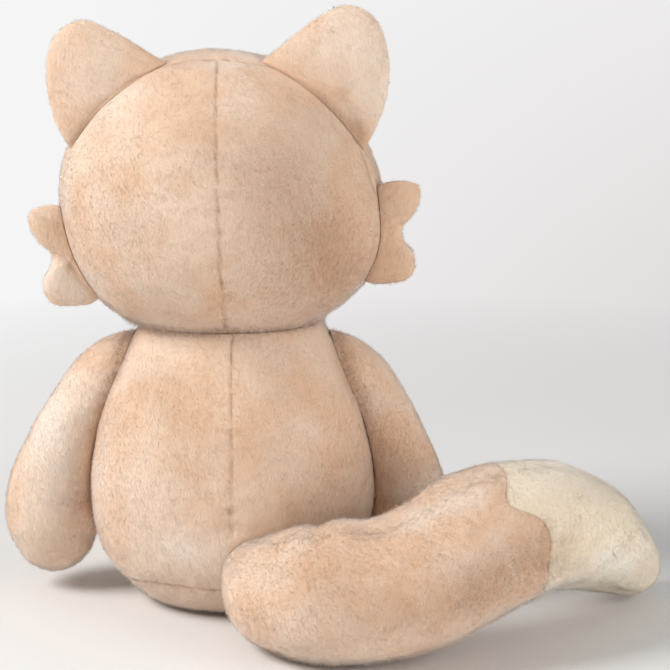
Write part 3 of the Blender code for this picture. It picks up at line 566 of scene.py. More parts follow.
def pile_mesh(name, grid, shade, length, nap, seed):
    """Fibres of pile: one slim triangle each, its foot on the skin at a random place, its tip away
    along normal + nap + a random lean, its flat side turned out. Length is a share of the usual one,
    0 where no pile grows. Darker pile stands in rougher tufts, longer at their middles, with painted
    shade between the tufts and painted light at their middles, stronger where more shade is painted."""
    random = np.random.default_rng(seed)
    normals = grid_normals(grid)
    beside = np.roll(grid, -1, axis=1)
    corners = np.stack([grid[:-1], beside[:-1], beside[1:], grid[1:]], axis=2)
    areas = np.linalg.norm(
        np.cross(corners[:, :, 2] - corners[:, :, 0], corners[:, :, 3] - corners[:, :, 1]), axis=-1
    ) / 2
    grows = np.minimum(length, np.roll(length, -1, axis=1))
    areas = areas * (np.minimum(grows[:-1], grows[1:]) > 0)
    total = areas.sum()
    count = int(total / MM**2 * PILE_PER_SQUARE_MM)
    heap = np.cumsum(areas.ravel())
    cell = np.minimum(np.searchsorted(heap, random.random(count) * total), areas.size - 1)
    ring, step = np.unravel_index(cell, areas.shape)
    u, v = random.random((2, count))
    after = (step + 1) % grid.shape[1]

    def blend(field):
        extra = (slice(None),) + (None,) * (field.ndim - 2)
        near = field[ring, step] * (1 - u)[extra] + field[ring, after] * u[extra]
        far = field[ring + 1, step] * (1 - u)[extra] + field[ring + 1, after] * u[extra]
        return near * (1 - v)[extra] + far * v[extra]

    foot, normal, dark, long = blend(grid), blend(normals), blend(shade), blend(length)
    tuft_relief_and_shade = np.clip(UNBRUSHED_TUFT_RELIEF_AND_SHADE + 1.3 * dark, 0.08, 1.1)
    brushed = 0.5 * lattice_noise(foot, SWEEP_SIZE, seed)[:, None] * np.array((1, 0.4, 0))
    clump = np.stack([lattice_noise(foot, LOCK_SIZE, seed + k) for k in (3, 4, 5)], axis=-1)
    lean = 0.8 * normal + np.asarray(nap) + brushed + 0.3 * clump + 0.35 * random.normal(size=(count, 3))
    lean /= np.linalg.norm(lean, axis=1, keepdims=True)
    out = np.sum(lean * normal, axis=1, keepdims=True)
    lean += np.maximum(0.25 - out, 0) * normal
    size = PILE_LENGTH * long * (0.65 + 0.6 * random.random(count))
    tuft = lattice_noise((foot + lean * size[:, None]) * STRAND_STRETCH, TUFT_SIZE, seed + 6)
    size *= 1 + 0.5 * tuft_relief_and_shade * tuft
    # Painted shade between the tufts and painted light at their middles, stronger where more shade is painted
    dark = dark - tuft_relief_and_shade * tuft
    across = np.cross(lean, normal) + 0.25 * random.normal(size=(count, 3))
    across /= np.linalg.norm(across, axis=1, keepdims=True)
    foot = foot - normal * PILE_ROOT
    tips = foot + lean * size[:, None]
    points = np.stack([foot - across * PILE_WIDTH / 2, foot + across * PILE_WIDTH / 2, tips], axis=1)
    flat = np.cross(points[:, 1] - points[:, 0], points[:, 2] - points[:, 0])
    turned = np.sum(flat * normal, axis=1) < 0
    points[turned] = points[turned][:, (1, 0, 2)]
    points[..., 2] = np.maximum(points[..., 2], 0.1 * MM)
    return fibre_mesh(name, points, dark, normal)


def fibre_mesh(name, points, dark, normal):
    """A mesh of loose triangles, each with its tip last, its shade and the normal of its skin."""
    count = len(points)
    mesh = bpy.data.meshes.new(name)
    mesh.vertices.add(3 * count)
    mesh.vertices.foreach_set("co", points.ravel())
    mesh.loops.add(3 * count)
    mesh.loops.foreach_set("vertex_index", np.arange(3 * count))
    mesh.polygons.add(count)
    mesh.polygons.foreach_set("loop_start", np.arange(0, 3 * count, 3))
    mesh.polygons.foreach_set("loop_total", np.full(count, 3))
    mesh.update(calc_edges=True)
    point_values(mesh, "tip", np.tile((0, 0, 1), count))
    point_values(mesh, "shade", np.repeat(dark, 3))
    point_values(mesh, "custom_normal", np.repeat(normal, 3, axis=0))
    return mesh


def head_matrix():
    """From the head's own frame to the fox's."""
    return Matrix.Translation((0, 0, TORSO_HEIGHT)) @ Matrix.Rotation(HEAD_ROLL, 4, "Y")


def place(name, mesh, material):
    obj = bpy.data.objects.new(name, mesh)
    bpy.context.scene.collection.objects.link(obj)
    mesh.materials.append(material)
    return obj


def on_head(piece):
    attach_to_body(piece, "head")


def carried(points, matrix):
    matrix = np.array(matrix)
    return points @ matrix[:3, :3].T + matrix[:3, 3]


def to_fox(points):
    """Points of the head's own frame in the fox's."""
    return carried(points, head_matrix())


def to_head(points):
    """Points of the fox's frame in the head's own."""
    return carried(points, head_matrix().inverted())


def add_node(tree, kind, **inputs):
    """A shader node with values on its own sockets, spaces in their names written as underscores."""
    made = tree.nodes.new(kind)
    for name, value in inputs.items():
        made.inputs[name.replace("_", " ")].default_value = value
    return made


def noise_node(tree, place_out, size, detail=2.0):
    """Noise whose features are this large, in metres."""
    made = add_node(tree, "ShaderNodeTexNoise", Scale=1 / size, Detail=detail, Roughness=0.6)
    tree.links.new(place_out, made.inputs["Vector"])
    return made.outputs["Fac"]


def curve_node(tree, value_out, low, high, to_low, to_high):
    """A value mapped in a straight line from one range to another, and held at its ends."""
    made = tree.nodes.new("ShaderNodeMapRange")
    for name, value in (("From Min", low), ("From Max", high), ("To Min", to_low), ("To Max", to_high)):
        made.inputs[name].default_value = value
    tree.links.new(value_out, made.inputs["Value"])
    return made.outputs["Result"]


def mix_node(tree, factor_out, one, other, mode="MIX"):
    """Two colours mixed by a factor. Each is a colour or an output."""
    made = tree.nodes.new("ShaderNodeMix")
    made.data_type = "RGBA"
    made.blend_type = mode
    if isinstance(factor_out, float):
        made.inputs[0].default_value = factor_out
    else:
        tree.links.new(factor_out, made.inputs[0])
    for socket, value in ((made.inputs[6], one), (made.inputs[7], other)):
        if isinstance(value, tuple):
            socket.default_value = (*value, 1)
        else:
            tree.links.new(value, socket)
    return made.outputs[2]


def math_node(tree, operation, one, other):
    made = tree.nodes.new("ShaderNodeMath")
    made.operation = operation
    for socket, value in zip(made.inputs, (one, other)):
        if isinstance(value, float):
            socket.default_value = value
        else:
            tree.links.new(value, socket)
    return made.outputs[0]


def vector_node(tree, operation, vector_out, other=(0, 0, 0)):
    made = tree.nodes.new("ShaderNodeVectorMath")
    made.operation = operation
    tree.links.new(vector_out, made.inputs[0])
    made.inputs[1].default_value = other
    return made


def attribute_node(tree, name):
    made = tree.nodes.new("ShaderNodeAttribute")
    made.attribute_name = name
    return made.outputs["Fac"]


def add_bump(tree, shader, height_out, strength, distance):
    """A bump on a shader, from an output that gives heights."""
    bump = add_node(tree, "ShaderNodeBump", Strength=strength, Distance=distance)
    tree.links.new(height_out, bump.inputs["Height"])
    tree.links.new(bump.outputs["Normal"], shader.inputs["Normal"])
    return bump


def new_material(name):
    """A material, its node tree, its shader and an output with places on the object."""
    made = bpy.data.materials.new(name)
    made.use_nodes = True
    tree = made.node_tree
    shader = tree.nodes["Principled BSDF"]
    places = tree.nodes.new("ShaderNodeTexCoord").outputs["Object"]
    return made, tree, shader, places


def pile_material(name, tones):
    """Brushed pile: broad patches of two tones, streaks brushed light, fine clumps and darker between
    the roots. Its shade mixes it towards the deep tone as painted shade, in the seams, creases and
    where parts meet, or below zero towards the pale tone as painted light, partly for brushed nap."""
    made, tree, shader, places = new_material(name)
    deep, root, middle, light, pale = tones
    patches = curve_node(tree, noise_node(tree, places, 42 * MM, 2.0), 0.43, 0.58, 0.0, 1.0)
    colour = mix_node(tree, patches, middle, light)
    streaks = curve_node(tree, noise_node(tree, places, 9 * MM, 3.0), 0.4, 0.75, 0.0, 0.5)
    colour = mix_node(tree, streaks, colour, light)
    brushed = vector_node(tree, "MULTIPLY", places, STRAND_STRETCH).outputs["Vector"]
    clumps = curve_node(tree, noise_node(tree, brushed, 1.1 * MM, 2.0), 0.3, 0.7, 0.0, 0.35)
    colour = mix_node(tree, clumps, colour, root)
    tips = curve_node(tree, attribute_node(tree, "tip"), 0.0, 1.0, 0.3, 0.0)
    colour = mix_node(tree, tips, colour, root)
    # Painted shade towards the deep tone, and below zero painted light towards the pale tone
    shade = curve_node(tree, attribute_node(tree, "shade"), 0.0, 1.0, 0.0, 1.0)
    colour = mix_node(tree, shade, colour, deep)
    pale_painted_light = curve_node(tree, attribute_node(tree, "shade"), 0.0, -1.0, 0.0, 1.0)
    colour = mix_node(tree, pale_painted_light, colour, pale)
    tree.links.new(colour, shader.inputs["Base Color"])
    fine = noise_node(tree, brushed, 0.6 * MM, 2.0)
    coarse = noise_node(tree, brushed, 1.6 * MM, 2.0)
    bump = add_bump(tree, shader, math_node(tree, "ADD", fine, coarse), 0.55, 0.5 * MM)
    surface = tree.nodes.new("ShaderNodeNewGeometry").outputs
    outward = vector_node(tree, "SCALE", surface["Normal"])
    tree.links.new(curve_node(tree, surface["Backfacing"], 0.0, 1.0, 1.0, -1.0), outward.inputs["Scale"])
    tree.links.new(outward.outputs["Vector"], bump.inputs["Normal"])
    shader.inputs["Roughness"].default_value = 0.95
    shader.inputs["Sheen Weight"].default_value = 0.6
    shader.inputs["Sheen Roughness"].default_value = 0.4
    return made


def plastic_material(name, colour, roughness):
    """Moulded plastic: one colour with faint mottling, roughness with fine wear, a faint bump."""
    made, tree, shader, places = new_material(name)
    mottle = curve_node(tree, noise_node(tree, places, 2 * MM, 3.0), 0.3, 0.7, 0.0, 1.0)
    bright = tuple(1.25 * part for part in colour)
    tree.links.new(mix_node(tree, mottle, colour, bright), shader.inputs["Base Color"])
    wear = curve_node(tree, noise_node(tree, places, 1 * MM, 4.0), 0.3, 0.8, roughness, roughness * 1.8)
    tree.links.new(wear, shader.inputs["Roughness"])
    add_bump(tree, shader, noise_node(tree, places, 3 * MM), 0.05, 0.1 * MM)
    return made


def fill_material(name, colour, size):
    """Loose fibre or plain cloth of a hidden piece: mottled colour and a woolly bump."""
    made, tree, shader, places = new_material(name)
    wool = curve_node(tree, noise_node(tree, places, size, 5.0), 0.3, 0.7, 0.0, 1.0)
    tree.links.new(mix_node(tree, wool, tuple(0.8 * c for c in colour), colour), shader.inputs["Base Color"])
    add_bump(tree, shader, noise_node(tree, places, size, 5.0), 0.8, size / 2)
    shader.inputs["Roughness"].default_value = 0.95
    return made


def dress(
    name, grid, seam, looks, nap, seed, attach, nodes, lump=0.7 * MM, calm=1, extra=0, shade=0,
    length=1, open_ends=(True, False), press=None,
):
    """A stuffed cover with its pile: both are made from one grid, attached the same way, and stand
    for the same CAD nodes. Press keeps the caps of its open ends out of what it is sewn on. Shade
    darkens the pile as painted shade, or paints it paler below zero as painted light, and length is
    a share of its usual length."""
    material, slot = looks
    skin = stuffed(grid, seam, lump, seed, calm, extra, open_ends)
    skin[..., 2] = np.maximum(skin[..., 2], SKIN_GAP / 2)
    # Painted shade in the seams' grooves, in dashes at the stitches, on top of the painted patches and the
    # shade passed in
    seam_shade_dashes = 0.4 + 0.4 * lattice_noise(grid, STITCH, seed + 3)
    dark = shade + nap_and_painted_light_tone(grid) + seam_shade_dashes * bell(seam, 1.4 * SEAM_WIDTH)
    length = np.broadcast_to(length, dark.shape)
    closed = capped(skin, open_ends)
    if press:
        closed = press(closed)
    cap_rows = tuple(CAP_RINGS * is_open for is_open in open_ends)
    all_dark = np.pad(dark, (cap_rows, (0, 0)), mode="edge")
    cover = place(name, skin_mesh(name, closed, all_dark), material)
    pile = place(f"{name}_pile", pile_mesh(f"{name}_pile", skin, dark, length, nap, seed + 40), material)
    for piece in (cover, pile):
        attach(piece)
    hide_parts(*nodes)
    return cover


def wool_piece(name, grid, wool, attach, node):
    """Hidden stuffing, which stands for a CAD node."""
    piece = place(name, skin_mesh(name, grid, 0 * grid[..., 0]), wool)
    attach(piece)
    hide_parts(node)


def filling(name, grid, wool, attach, node, press):
    """The stuffing of a limb, which follows its cover's shape: every fourth ring and line of the cover,
    point = middle of the ring + share * (cover's point - middle)."""
    rings = grid[::4, ::4]
    middle = rings.mean(axis=1, keepdims=True)
    inner = capped(middle + (rings - middle) * FILLING_SHARE, (True, True))
    if press:
        inner = press(inner)
    wool_piece(name, inner, wool, attach, node)


def far(grid):
    """No seam anywhere near."""
    return np.full(grid.shape[:-1], 1.0)


def away_from(grid, points):
    """How far each point of a grid is from the nearest of these points."""
    tree = KDTree(len(points))
    for index, point in enumerate(points):
        tree.insert(point, index)
    tree.balance()
    return np.array([tree.find(point)[2] for point in grid.reshape(-1, 3)]).reshape(grid.shape[:-1])


def touching(grids, share_of, half_width):
    """The points of grids that lie close to a body's skin."""
    points = np.concatenate([grid.reshape(-1, 3) for grid in grids])
    return points[share_of(points) < 1 + 1.5 * MM / half_width][::2]


def dress_torso(looks, roots, arms):
    """The torso with its centre, side and base seams, still where the legs and the tail are sewn on,
    with painted shade by the arms, below the neck and in the knot's dimple."""
    grid = torso_grid(340, 250)
    x, y, z = np.moveaxis(grid, -1, 0)
    centre = np.where(y > 0, np.abs(x - TORSO_SEAM_ASIDE), 1)
    behind = smooth_step(-0.3 * TORSO_HALF_DEPTH, 0.8 * TORSO_HALF_DEPTH, y)
    height = BASE_SEAM_HEIGHT + BASE_SEAM_LIFT * behind
    base = np.abs(z - height)
    seam = np.minimum.reduce([centre, np.abs(y), base])
    seam = np.where(z < height - 1 * MM, base, seam)
    nodes = ("torso_back_left", "torso_back_right", "torso_front", "torso_base_panel")
    calm = smooth_step(0, 2 * ROLL, TORSO_HEIGHT - SKIN_GAP - z) * smooth_step(0, ROLL, z)
    calm *= smooth_step(1 * MM, 7 * MM, away_from(grid, roots))
    extra = puckers(grid, centre, (0.3, 0.3, 1), 14) + 1.6 * puckers(grid, base, (1, 1, 0.25), 15)
    knot = creases(grid, KNOTS[1:])
    # Painted shade in the knot's dimple, where the arms lie against the torso, and under the head at the neck
    shade = 0.2 * knot / MM + 0.5 * bell(away_from(grid, arms), 6 * MM)
    shade += 0.3 * bell(TORSO_HEIGHT - z, 3 * MM)
    dress(
        "torso_cover", grid, seam, looks, (0, 0, -0.7), 11, lambda o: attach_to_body(o, "torso"), nodes,
        calm=calm, extra=extra - knot, shade=shade,
    )


def dress_head(looks, roots):
    """The head with its centre back seam and the seam from ear to ear, still where the ears, tufts
    and muzzle are sewn on."""
    grid = head_grid(340, 290)
    calm = smooth_step(1 * MM, 7 * MM, away_from(grid, roots))
    grid = to_fox(grid)
    x, y, z = np.moveaxis(grid, -1, 0)
    rise = z - TORSO_HEIGHT
    lean = HEAD_SIDE_SHIFT + (rise - 0.6 * HEAD_RISE) * math.tan(HEAD_SEAM_LEAN)
    centre = np.where(y > HEAD_SEAM_BACK, np.abs(x - lean), 1)
    crown = np.abs(y - HEAD_SEAM_BACK)
    seam = np.minimum(centre, crown)
    nodes = ("head_back_left", "head_back_right", "head_front")
    calm *= smooth_step(0, 2 * ROLL, rise - SKIN_GAP)
    extra = puckers(grid, centre, (0.3, 0.3, 1), 24) + puckers(grid, crown, (0.6, 0.3, 0.6), 25)
    knot = creases(grid, KNOTS[:1])
    # Painted shade in the knot's dimple and along the neck, where the head sits on the torso
    shade = 0.2 * knot / MM + 0.45 * bell(rise, 2.5 * MM)
    dress(
        "head_cover", grid, seam, looks, (0, 0, -0.7), 21, on_head, nodes, calm=calm,
        extra=extra - knot, shade=shade, open_ends=(False, True),
        length=2.2 - 1.2 * smooth_step(0, 5 * MM, rise),
    )


def out_of_head(grid):
    """Presses what lies in the head out of it, away from its middle and level from front to back."""
    flat = 0 * grid[..., 0]
    middle = np.stack([flat + HEAD_SIDE_SHIFT, grid[..., 1], flat + HEAD_RISE / 2], axis=-1)
    return pressed_out(grid, head_share, middle, HEAD_HALF_WIDTH)


def in_fox(press):
    """A press of the head's frame for points in the fox's frame."""
    return lambda points: to_fox(press(to_head(points)))


def ear_grids(side):
    """An ear's back and front half in the head's frame, and the wadding between them."""
    path = [
        (side * out * HEAD_RISE + EAR_ASIDE, EAR_BACK, up * HEAD_RISE)
        for out, up in zip(EAR_OUT_SHARES, EAR_UP_SHARES)
    ]
    wide = [share * EAR_HALF_WIDTH for share in EAR_WIDTH_SHARES]
    deep = [share * EAR_HALF_THICKNESS for share in EAR_THICKNESS_SHARES]
    last = len(path) - 1
    whole = rooted_grid((path, wide, deep, np.array((0.0, 1, 0))), head_share, last, 170, 150, 2.5)
    wide, deep = ([WADDING_SHARE * half for half in halves] for halves in (wide, deep))
    inner = rooted_grid((path, wide, deep, np.array((0.0, 1, 0))), head_share, last - 0.15, 40, 48, 2.5)
    halves = [out_of_head(ear_layer(whole, front)) for front in (False, True)]
    return halves + [out_of_head(capped(inner, (True, True)))]


def dress_ears(grids, tan, cream, wool):
    """Each ear: its two cloths meet in the plane of its edge, tan behind and cream before. It is
    thin where it is sewn on, with the pile parted in fine lines, and has thin wadding inside. Painted
    shade darkens it by its root, in the partings and in its creases."""
    for side, word in ((1, "left"), (-1, "right")):
        wool_piece(f"{word}_ear_wool", to_fox(grids[side][2]), wool, on_head, f"{word}_ear_wadding")
        for grid, looks, node, seed in zip(grids[side], (tan, cream), ("ear_back", "ear_inner"), (31, 35)):
            away = (head_share(grid) - 1) * HEAD_HALF_WIDTH
            thick = np.abs(grid[..., 1] - EAR_BACK)
            calm = smooth_step(0.3 * MM, 3 * MM, away) * smooth_step(0.2 * MM, 1.2 * MM, thick)
            parting = np.sin(2 * math.pi * away / (1.8 * MM) + 1.5 * lattice_noise(grid, 9 * MM, seed))
            band = smooth_step(1 * MM, 3 * MM, away) * (1 - smooth_step(6 * MM, 14 * MM, away))
            band *= np.clip(0.5 + lattice_noise(grid, 9 * MM, seed + 1), 0, 1)
            band *= 1 if side > 0 else 0
            pinch = creases(to_fox(grid), EAR_CREASES)
            extra = 0.2 * MM * parting * band - pinch
            # Painted shade: by the root where the ear meets the head, in the partings and in the creases
            shade = 0.5 * (1 - smooth_step(0.5 * MM, 9 * MM, away)) + 0.2 * band * (1 - parting)
            shade += 0.2 * pinch / MM
            dress(
                f"{word}_{node}_cloth", to_fox(grid), far(grid), looks, (side * 0.3, 0, 0.5), seed + side,
                on_head, (f"{word}_{node}",), lump=0.6 * MM, calm=calm,
                extra=extra, shade=shade, length=np.where(thick > SKIN_GAP, 1.0, 0.0),
                press=in_fox(out_of_head),
            )


def ear_layer(whole, front):
    """The back or the front half of an ear: the other half of each ring is flattened into the plane
    of the edge seam."""
    away = whole[..., 1] - EAR_BACK
    edge = (-1 if front else 1) * SKIN_GAP / 4
    away = np.minimum(away, edge) if front else np.maximum(away, edge)
    return np.stack([whole[..., 0], EAR_BACK + away, whole[..., 2]], axis=-1)


def tuft_grid(side, rings, around):
    """A cheek tuft: point = middle + (outline - middle) * sin turn, with a depth of thickness * cos
    turn, for turns from the back's middle over the outline to the front's middle."""
    corners = np.column_stack([TUFT_OUT_SHARES, TUFT_UP_SHARES])
    count = len(corners)
    at = np.linspace(0, count, around, endpoint=False)
    outline = smooth_through(np.concatenate([corners[-2:], corners, corners[:3]]), at + 2)
    middle = np.array(TUFT_MIDDLE_SHARES)
    if side > 0:
        outline = outline + LEFT_TUFT_SET_SHARES
        middle = middle + LEFT_TUFT_SET_SHARES
    turn = np.linspace(0, math.pi, rings)[:, None, None]
    flat = (middle + (outline - middle) * np.sin(turn)) * HEAD_RISE
    away = np.broadcast_to(TUFT_BACK + TUFT_HALF_THICKNESS * np.cos(turn[..., 0]), flat.shape[:-1])
    return out_of_head(np.stack([side * flat[..., 0], away, flat[..., 1]], axis=-1))


def dress_tufts(grids, looks):
    """Each cheek tuft, with a fold between its lobes and painted shade by its root."""
    for side, word, lines in ((1, "left", LEFT_TUFT_CREASES), (-1, "right", RIGHT_TUFT_CREASES)):
        away = (head_share(grids[side]) - 1) * HEAD_HALF_WIDTH
        grid = to_fox(grids[side])
        # Painted shade near the root, where the tuft meets the head
        dress(
            f"{word}_tuft_cloth", grid, far(grid), looks, (side * 0.6, 0, 0), 51 + side,
            on_head, (f"{word}_cheek_tuft",), lump=0.6 * MM,
            calm=smooth_step(0.5 * MM, 4 * MM, away), extra=-creases(grid, lines),
            shade=0.3 * (1 - smooth_step(1 * MM, 5 * MM, away)), open_ends=(False, False),
        )


def muzzle_grid():
    path = [(0, -HEAD_HALF_DEPTH - reach * MUZZLE_LENGTH, MUZZLE_RISE) for reach in MUZZLE_REACH_SHARES]
    wide = [share * MUZZLE_HALF_WIDTH for share in MUZZLE_SIDE_SHARES]
    high = [share * MUZZLE_HALF_HEIGHT for share in MUZZLE_SIDE_SHARES]
    form = (path, wide, high, np.array((0.0, 0, 1)))
    return off_face(rooted_grid(form, head_share, len(path) - 1, 90, 160, 2.5))


def off_face(grid):
    """Presses what lies in the head out of it, away from its upright axis."""
    axis = np.stack([grid[..., 0], 0 * grid[..., 0], grid[..., 2]], axis=-1)
    return pressed_out(grid, head_share, axis, HEAD_HALF_DEPTH)


def dress_muzzle(grid, looks):
    """The muzzle on the front of the head, with a seam below its nose."""
    away = (head_share(grid) - 1) * HEAD_HALF_DEPTH
    seam = np.where(grid[..., 2] < MUZZLE_RISE, np.abs(grid[..., 0]), 1)
    dress(
        "muzzle_cloth", to_fox(grid), seam, looks, (0, 0.3, -0.2), 61, on_head,
        ("muzzle",), lump=0.4 * MM, calm=smooth_step(0.5 * MM, 4 * MM, away), press=in_fox(off_face),
    )


def arm_pivot(side):
    height = TORSO_HEIGHT - SHOULDER_DROP
    return Vector((side * torso_half_share(height) * TORSO_HALF_WIDTH, 0, height))


def torso_skin(y, z):
    """How far aside the torso's skin lies at these depths and heights."""
    here = torso_half_share(z)
    deep = np.clip(y / np.maximum(here * TORSO_HALF_DEPTH, 1e-4), -1, 1)
    return here * TORSO_HALF_WIDTH * np.sqrt(1 - deep * deep)


def clear_of_torso(grid, side, pivot):
    """Fits an arm's points to the torso: outwards until they are clear of it at rest, and at the
    ends and in the middle of the arm's swing but for the give of the stuffing, then inwards where
    they are less than the touch away. It returns the points and how far out of that room they are."""
    away = np.hypot(grid[..., 1] - pivot.y, grid[..., 2] - pivot.z)
    turn = np.arctan2(grid[..., 1] - pivot.y, pivot.z - grid[..., 2])
    bend = smooth_step(*(-rise for rise in SHOULDER_BLEND), pivot.z - grid[..., 2])
    least = torso_skin(grid[..., 1], grid[..., 2])
    sewn = 1 - smooth_step(*SEWN_REACH, away)
    for degrees in range(-10, 61, 5):
        swung = turn - math.radians(degrees) * bend
        skin = torso_skin(pivot.y + away * np.sin(swung), pivot.z - away * np.cos(swung))
        give = 0 if degrees in (-10, 60) else ARM_GIVE
        least = np.maximum(least, skin - give - SEWN_GIVE * sewn)
    least = least + SKIN_GAP
    out = side * grid[..., 0] - least
    part = np.clip(out / ARM_TOUCH, 0, 1)
    pressed = np.where(part < 1, ARM_TOUCH * part**2 * (2 - part), out)
    moved = grid.copy()
    moved[..., 0] = side * (least + pressed)
    return moved, pressed


def arm_grid(side):
    """An arm fitted to the torso, and how far out of its room each point is."""
    pivot = arm_pivot(side)
    spread = LEFT_SPREAD_SHARE if side > 0 else -RIGHT_SPREAD_SHARE
    shares = zip(ARM_OUT_SHARES, ARM_FORWARD_SHARES, ARM_DROP_SHARES)
    path = [tuple(pivot + ARM_LENGTH * Vector((spread * out, -ahead, -down))) for out, ahead, down in shares]
    halves = [share * ARM_HALF_WIDTH for share in ARM_SIDE_SHARES]
    at = path_ats(path, halves, ARM_START, len(path) - 1, 150)
    grid = path_grid(path, halves, halves, np.array((0.0, 1, 0)), at, 132)
    return clear_of_torso(grid, side, pivot)


def dress_arms(arms, looks, wool):
    """The arms, with longer pile and painted shade where they lie against the torso."""
    for side, word in ((1, "left"), (-1, "right")):
        pivot = arm_pivot(side)
        grid, clear = arms[side]
        attach = lambda o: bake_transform(o)
        press = lambda points: clear_of_torso(points, side, pivot)[0]
        # Painted shade and longer pile where the arm lies against the torso
        near = 1 - smooth_step(0, 9 * MM, clear)
        dress(
            f"{word}_arm_cover", grid, far(grid), looks, (0, 0, -0.6), 71 + side, attach,
            (f"{word}_arm",), calm=smooth_step(0, 4 * MM, clear), extra=-creases(grid, ARM_CREASES),
            shade=0.6 * near, length=1 + 0.6 * near, press=press,
        )
        filling(f"{word}_arm_wool", grid[12:-14], wool, attach, f"{word}_arm_stuffing", None)


def leg_root(side):
    front = torso_half_share(LEG_HINGE_HEIGHT) * TORSO_HALF_DEPTH
    return Vector((side * LEG_STANCE, -front, 0))


def pressed_off_torso(grid):
    axis = np.stack([0 * grid[..., 0], 0 * grid[..., 0], grid[..., 2]], axis=-1)
    return pressed_out(grid, torso_share, axis, TORSO_HALF_DEPTH)


def off_torso(grid):
    """How far outside the torso's skin the points are."""
    return (torso_share(grid) - 1) * TORSO_HALF_DEPTH


def leg_grids(side):
    """A leg's cover and its sole panel, which meet in a level ring."""
    root = leg_root(side)
    shares = zip(LEG_OUT_SHARES, LEG_FORWARD_SHARES, LEG_UP_SHARES)
    size = Vector((LEG_LENGTH, LEG_LENGTH, LEG_HALF_WIDTH))
    path = [tuple(root + Vector((side * out, -ahead, up)) * size) for out, ahead, up in shares]
    halves = [share * LEG_HALF_WIDTH for share in LEG_SIDE_SHARES]
    form = (path, halves, halves, np.array((0.0, 0, 1)))
    last = len(path) - 1
    cover = rooted_grid(form, torso_share, SOLE_START, 100, 140, 2)
    sole = path_grid(*form, path_ats(path, halves, SOLE_START, last, 50), 140)
    return [pressed_off_torso(cover), sole]


def dress_legs(grids, tan, cream, wool):
    """The legs with their sole panels."""
    for side, word in ((1, "left"), (-1, "right")):
        attach = lambda o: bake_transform(o)
        parts = (("leg_cover", "leg", tan), ("sole_cloth", "foot_sole", cream))
        for grid, (part, node, looks) in zip(grids[side], parts):
            seam = away_from(grid, grids[side][1][0])
            sole = node == "foot_sole"
            calm = 1 if sole else smooth_step(0.5 * MM, 5 * MM, off_torso(grid))
            dress(
                f"{word}_{part}", grid, seam, looks, (0, -0.4, -0.2), 81 + side, attach,
                (f"{word}_{node}",), lump=0.5 * MM, calm=calm, open_ends=(True, not sole),
                press=None if sole else pressed_off_torso,
            )
        whole = np.concatenate([grids[side][0], grids[side][1][1:]])
        filling(f"{word}_leg_wool", whole[4:-44], wool, attach, f"{word}_leg_stuffing", pressed_off_torso)


def tail_grids():
    """The tail and its tip, which meet on a seam that winds round it."""
    back = torso_half_share(TAIL_LENGTH * TAIL_UP_SHARES[1]) * TORSO_HALF_DEPTH
    root = Vector((0, back, 0))
    path = [
        tuple(root + TAIL_LENGTH * Vector((-aside, behind, up)))
        for aside, behind, up in zip(TAIL_SIDE_SHARES, TAIL_BACK_SHARES, TAIL_UP_SHARES)
    ]
    halves = [share * TAIL_HALF_WIDTH for share in TAIL_THICK_SHARES]
    around = 200
    form = (path, halves, halves, np.array((0.0, 0, 1)))
    last = len(path) - 1
    wound = TAIL_TIP_SEAM[-2:] + TAIL_TIP_SEAM + TAIL_TIP_SEAM[:3]
    seam = smooth_through(wound, 2 + np.linspace(0, len(TAIL_TIP_SEAM), around, endpoint=False))
    roots = leaving_ats(form, torso_share, around, 3)
    even = path_ats(path, halves, roots.mean(), seam.mean(), 200)
    along = ((even - even[0]) / (even[-1] - even[0]))[:, None]
    at = even[:, None] + (seam - seam.mean()) * along**2 + (roots - roots.mean()) * (1 - along)
    cover = pressed_off_torso(path_grid(*form, at, around))
    even = path_ats(path, halves, seam.mean(), last, 130)
    left = ((last - even) / (last - even[0]))[:, None]
    tip = path_grid(*form, even[:, None] + (seam - seam.mean()) * left**2, around)
    return root, [cover, tip]


def dress_tail(grids, tan, cream, wool):
    """The tail and its tip, with seams along both."""
    attach = lambda o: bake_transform(o)
    for grid, node, looks in zip(grids, ("tail", "tail_tip"), (tan, cream)):
        tip = node == "tail_tip"
        turn = np.linspace(0, 2 * math.pi, grid.shape[1], endpoint=False)
        ridges = [np.abs(turn - place) * 0.9 * TAIL_HALF_WIDTH for place in TAIL_SEAM_TURNS]
        ridge = np.broadcast_to(np.minimum(*ridges), grid.shape[:-1])
        seam = np.minimum(ridge, away_from(grid, grids[1][0])) + SEAM_WIDTH
        calm = 1 if tip else smooth_step(0.5 * MM, 5 * MM, off_torso(grid))
        folds = creases(grid, TAIL_CREASES)
        extra = puckers(grid, ridge, (0.8, 0.8, 0.3), 94) - folds - creases(grid, TAIL_RISES, (0, 0.3, 1))
        # Painted shade in the folds
        dress(
            f"{node}_cover", grid, seam, looks, (-0.5, 0, -0.2), 91, attach, (node,), lump=0.9 * MM,
            calm=calm, extra=extra, shade=0.1 * folds / MM, length=1.1 + 0.7 * bell(seam, 3 * MM),
            open_ends=(True, not tip), press=None if tip else pressed_off_torso,
        )
    whole = np.concatenate([grids[0], grids[1][1:]])
    filling("tail_wool", whole[4:-14], wool, attach, "tail_stuffing", pressed_off_torso)


def carry_over(materials):
    """Materials for the CAD nodes that stay: stuffing, the pellet bag, washers, eyes and nose."""
    for name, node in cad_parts.items():
        if node.hide_render:
            continue
        if name.endswith("washer"):
            chosen = materials["washer"]
        elif name == "pellet_bag":
            chosen = materials["bag"]
        elif name in ("left_eye", "right_eye", "nose"):
            chosen = materials["eye"]
        else:
            chosen = materials["stuffing"]
        node.data.materials.clear()
        node.data.materials.append(chosen)


